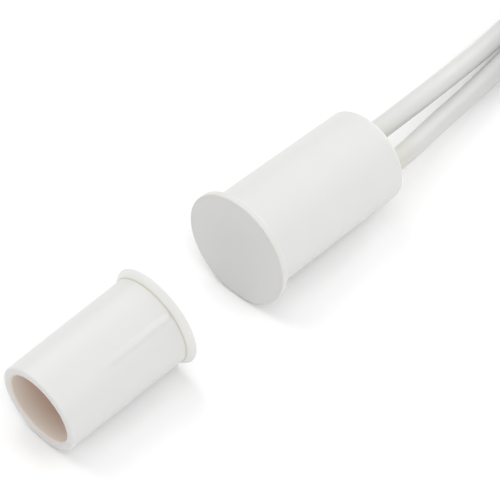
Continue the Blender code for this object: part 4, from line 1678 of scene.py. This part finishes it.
@dataclass(frozen=True)
class Studio:
    """The floor, the lights and the camera at the photo's viewing angle."""

    eye: tuple[float, float, float] = (125.52 * MM, -125.48 * MM, 217.06 * MM)
    target: tuple[float, float, float] = (-2.467 * MM, 7.682 * MM, 0.0)
    roll: float = math.radians(-0.3)
    lens: float = 226.9
    sensor: float = 36.0
    nearest: float = 0.02
    farthest: float = 50.0
    floor_half: float = 6.0
    floor_gap: float = 0.02 * MM
    floor_grain: float = 1.5 * MM
    floor_pale: Colour = (0.935, 0.935, 0.935)
    floor_dim: Colour = (0.93, 0.93, 0.93)
    ambient: float = 0.445
    softboxes: tuple[Softbox, ...] = (
        Softbox("top_softbox", 0.0, 89.9, 0.3, 0.58, 0.8),
        Softbox("left_softbox", -90.0, 45.0, 0.6, 1.90, 0.6),
        Softbox("right_softbox", 90.0, 45.0, 0.6, 1.93, 0.6),
        Softbox("front_softbox", 0.0, 20.0, 0.4, 0.49, 0.6),
        Softbox("back_softbox", 180.0, 20.0, 0.4, 1.40, 0.6),
    )

    def camera(self) -> None:
        """Points the camera at its target, and turns it by its roll about that line."""
        data = bpy.data.cameras.new("camera")
        data.lens = self.lens
        data.sensor_width = self.sensor
        data.clip_start, data.clip_end = self.nearest, self.farthest
        made = in_scene("camera", data)
        back = (Vector(self.eye) - Vector(self.target)).normalized()
        right = Vector((-back.y, back.x, 0.0)).normalized()
        up = back.cross(right)
        turned = right * math.cos(self.roll) + up * math.sin(self.roll)
        turn = Matrix((turned, back.cross(turned), back)).transposed().to_4x4()
        made.matrix_world = Matrix.Translation(self.eye) @ turn
        bpy.context.scene.camera = made

    def floor(self) -> None:
        """A plain pale floor."""
        graph = Graph("floor_paper")
        grain = graph.noise(graph.place(), self.floor_grain)
        graph.surface(
            Base_Color=graph.mix(grain, self.floor_dim, self.floor_pale),
            Roughness=0.9,
            Specular_IOR_Level=0.1,
        )
        mesh = bpy.data.meshes.new("floor")
        half = self.floor_half
        corners = [(-half, -half, 0.0), (half, -half, 0.0), (half, half, 0.0), (-half, half, 0.0)]
        mesh.from_pydata(corners, [], [(0, 1, 2, 3)])
        mesh.materials.append(graph.material)
        made = in_scene("floor", mesh)
        made.location.z = -self.floor_gap

    def world(self) -> None:
        """An even white surrounding."""
        world = bpy.data.worlds.new("surround")
        world.use_nodes = True
        background = world.node_tree.nodes["Background"]
        background.inputs["Color"].default_value = (1.0, 1.0, 1.0, 1.0)
        background.inputs["Strength"].default_value = self.ambient
        bpy.context.scene.world = world

    def build(self) -> None:
        """Sets everything up, with colours shown as they are."""
        self.floor()
        for softbox in self.softboxes:
            softbox.build()
        self.world()
        settings = bpy.context.scene.view_settings
        settings.view_transform = "Standard"
        settings.look = "None"


INNER_FINISHES: dict[str, Finish] = {
    "reed_cushion": CUSHION,
    "reed_glass": REED_GLASS,
    "front_reed": REED_ALLOY,
    "rear_reed": REED_ALLOY,
    "return_sleeve": SLEEVING,
    "solder_joint_a": SOLDER,
    "solder_joint_b": SOLDER,
    "joint_sleeve_a": SLEEVING,
    "joint_sleeve_b": SLEEVING,
    "lead_a_core": TINNED_COPPER,
    "lead_b_core": TINNED_COPPER,
}

# The leads' routes in millimetres, through the same points as their solids.
UPPER_ROUTE = (
    (-1.15, 23.4, 4.60),
    (-1.22, 26.4, 4.38),
    (-1.42, 30.8, 3.88),
    (-1.80, 34.2, 3.22),
    (-2.32, 38.5, 2.35),
    (-2.82, 42.3, 1.75),
    (-3.28, 45.0, 1.30),
    (-3.74, 48.4, 1.08),
)
LOWER_ROUTE = (
    (1.96, 24.4, 3.58),
    (1.17, 27.9, 2.88),
    (0.72, 31.3, 2.26),
    (0.27, 34.7, 1.74),
    (-0.15, 37.6, 1.36),
    (-0.55, 40.4, 1.10),
    (-0.86, 44.2, 1.04),
    (-1.36, 48.0, 1.04),
)


def dress_inside(nodes: dict[str, bpy.types.Object]) -> None:
    """Gives the sealed inner pieces their own finishes.

    Args:
        nodes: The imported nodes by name.
    """
    for name, finish in INNER_FINISHES.items():
        nodes[name].data.materials.clear()
        nodes[name].data.materials.append(finish.material())
        LOG.info("%s: %s", name, finish.name)


def main() -> None:
    """Builds the pieces in order."""
    logging.basicConfig(level=logging.INFO, format="%(name)s: %(message)s")
    for leftover in list(bpy.data.objects):
        bpy.data.objects.remove(leftover)
    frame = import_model()
    studio = Studio()
    studio.camera()

    switch = SwitchCapsule()
    hank = Hank()
    upper, lower = switch.exits()
    leads = [
        Lead("a", upper, UPPER_ROUTE, hank.outer_lane, UPPER_LEAD),
        Lead("b", lower, LOWER_ROUTE, hank.fold, LOWER_LEAD),
    ]
    hank.size_for(leads[0].spare(switch, hank))
    for lead in leads:
        lead.build(switch, hank)
    HankTie(hank).build()

    switch.housing()
    switch.resin()
    magnet = MagnetCapsule()
    magnet.housing()
    magnet.magnet()
    magnet.glue_bed()
    dress_inside(frame["nodes"])
    studio.build()


if __name__ == "__main__":
    main()
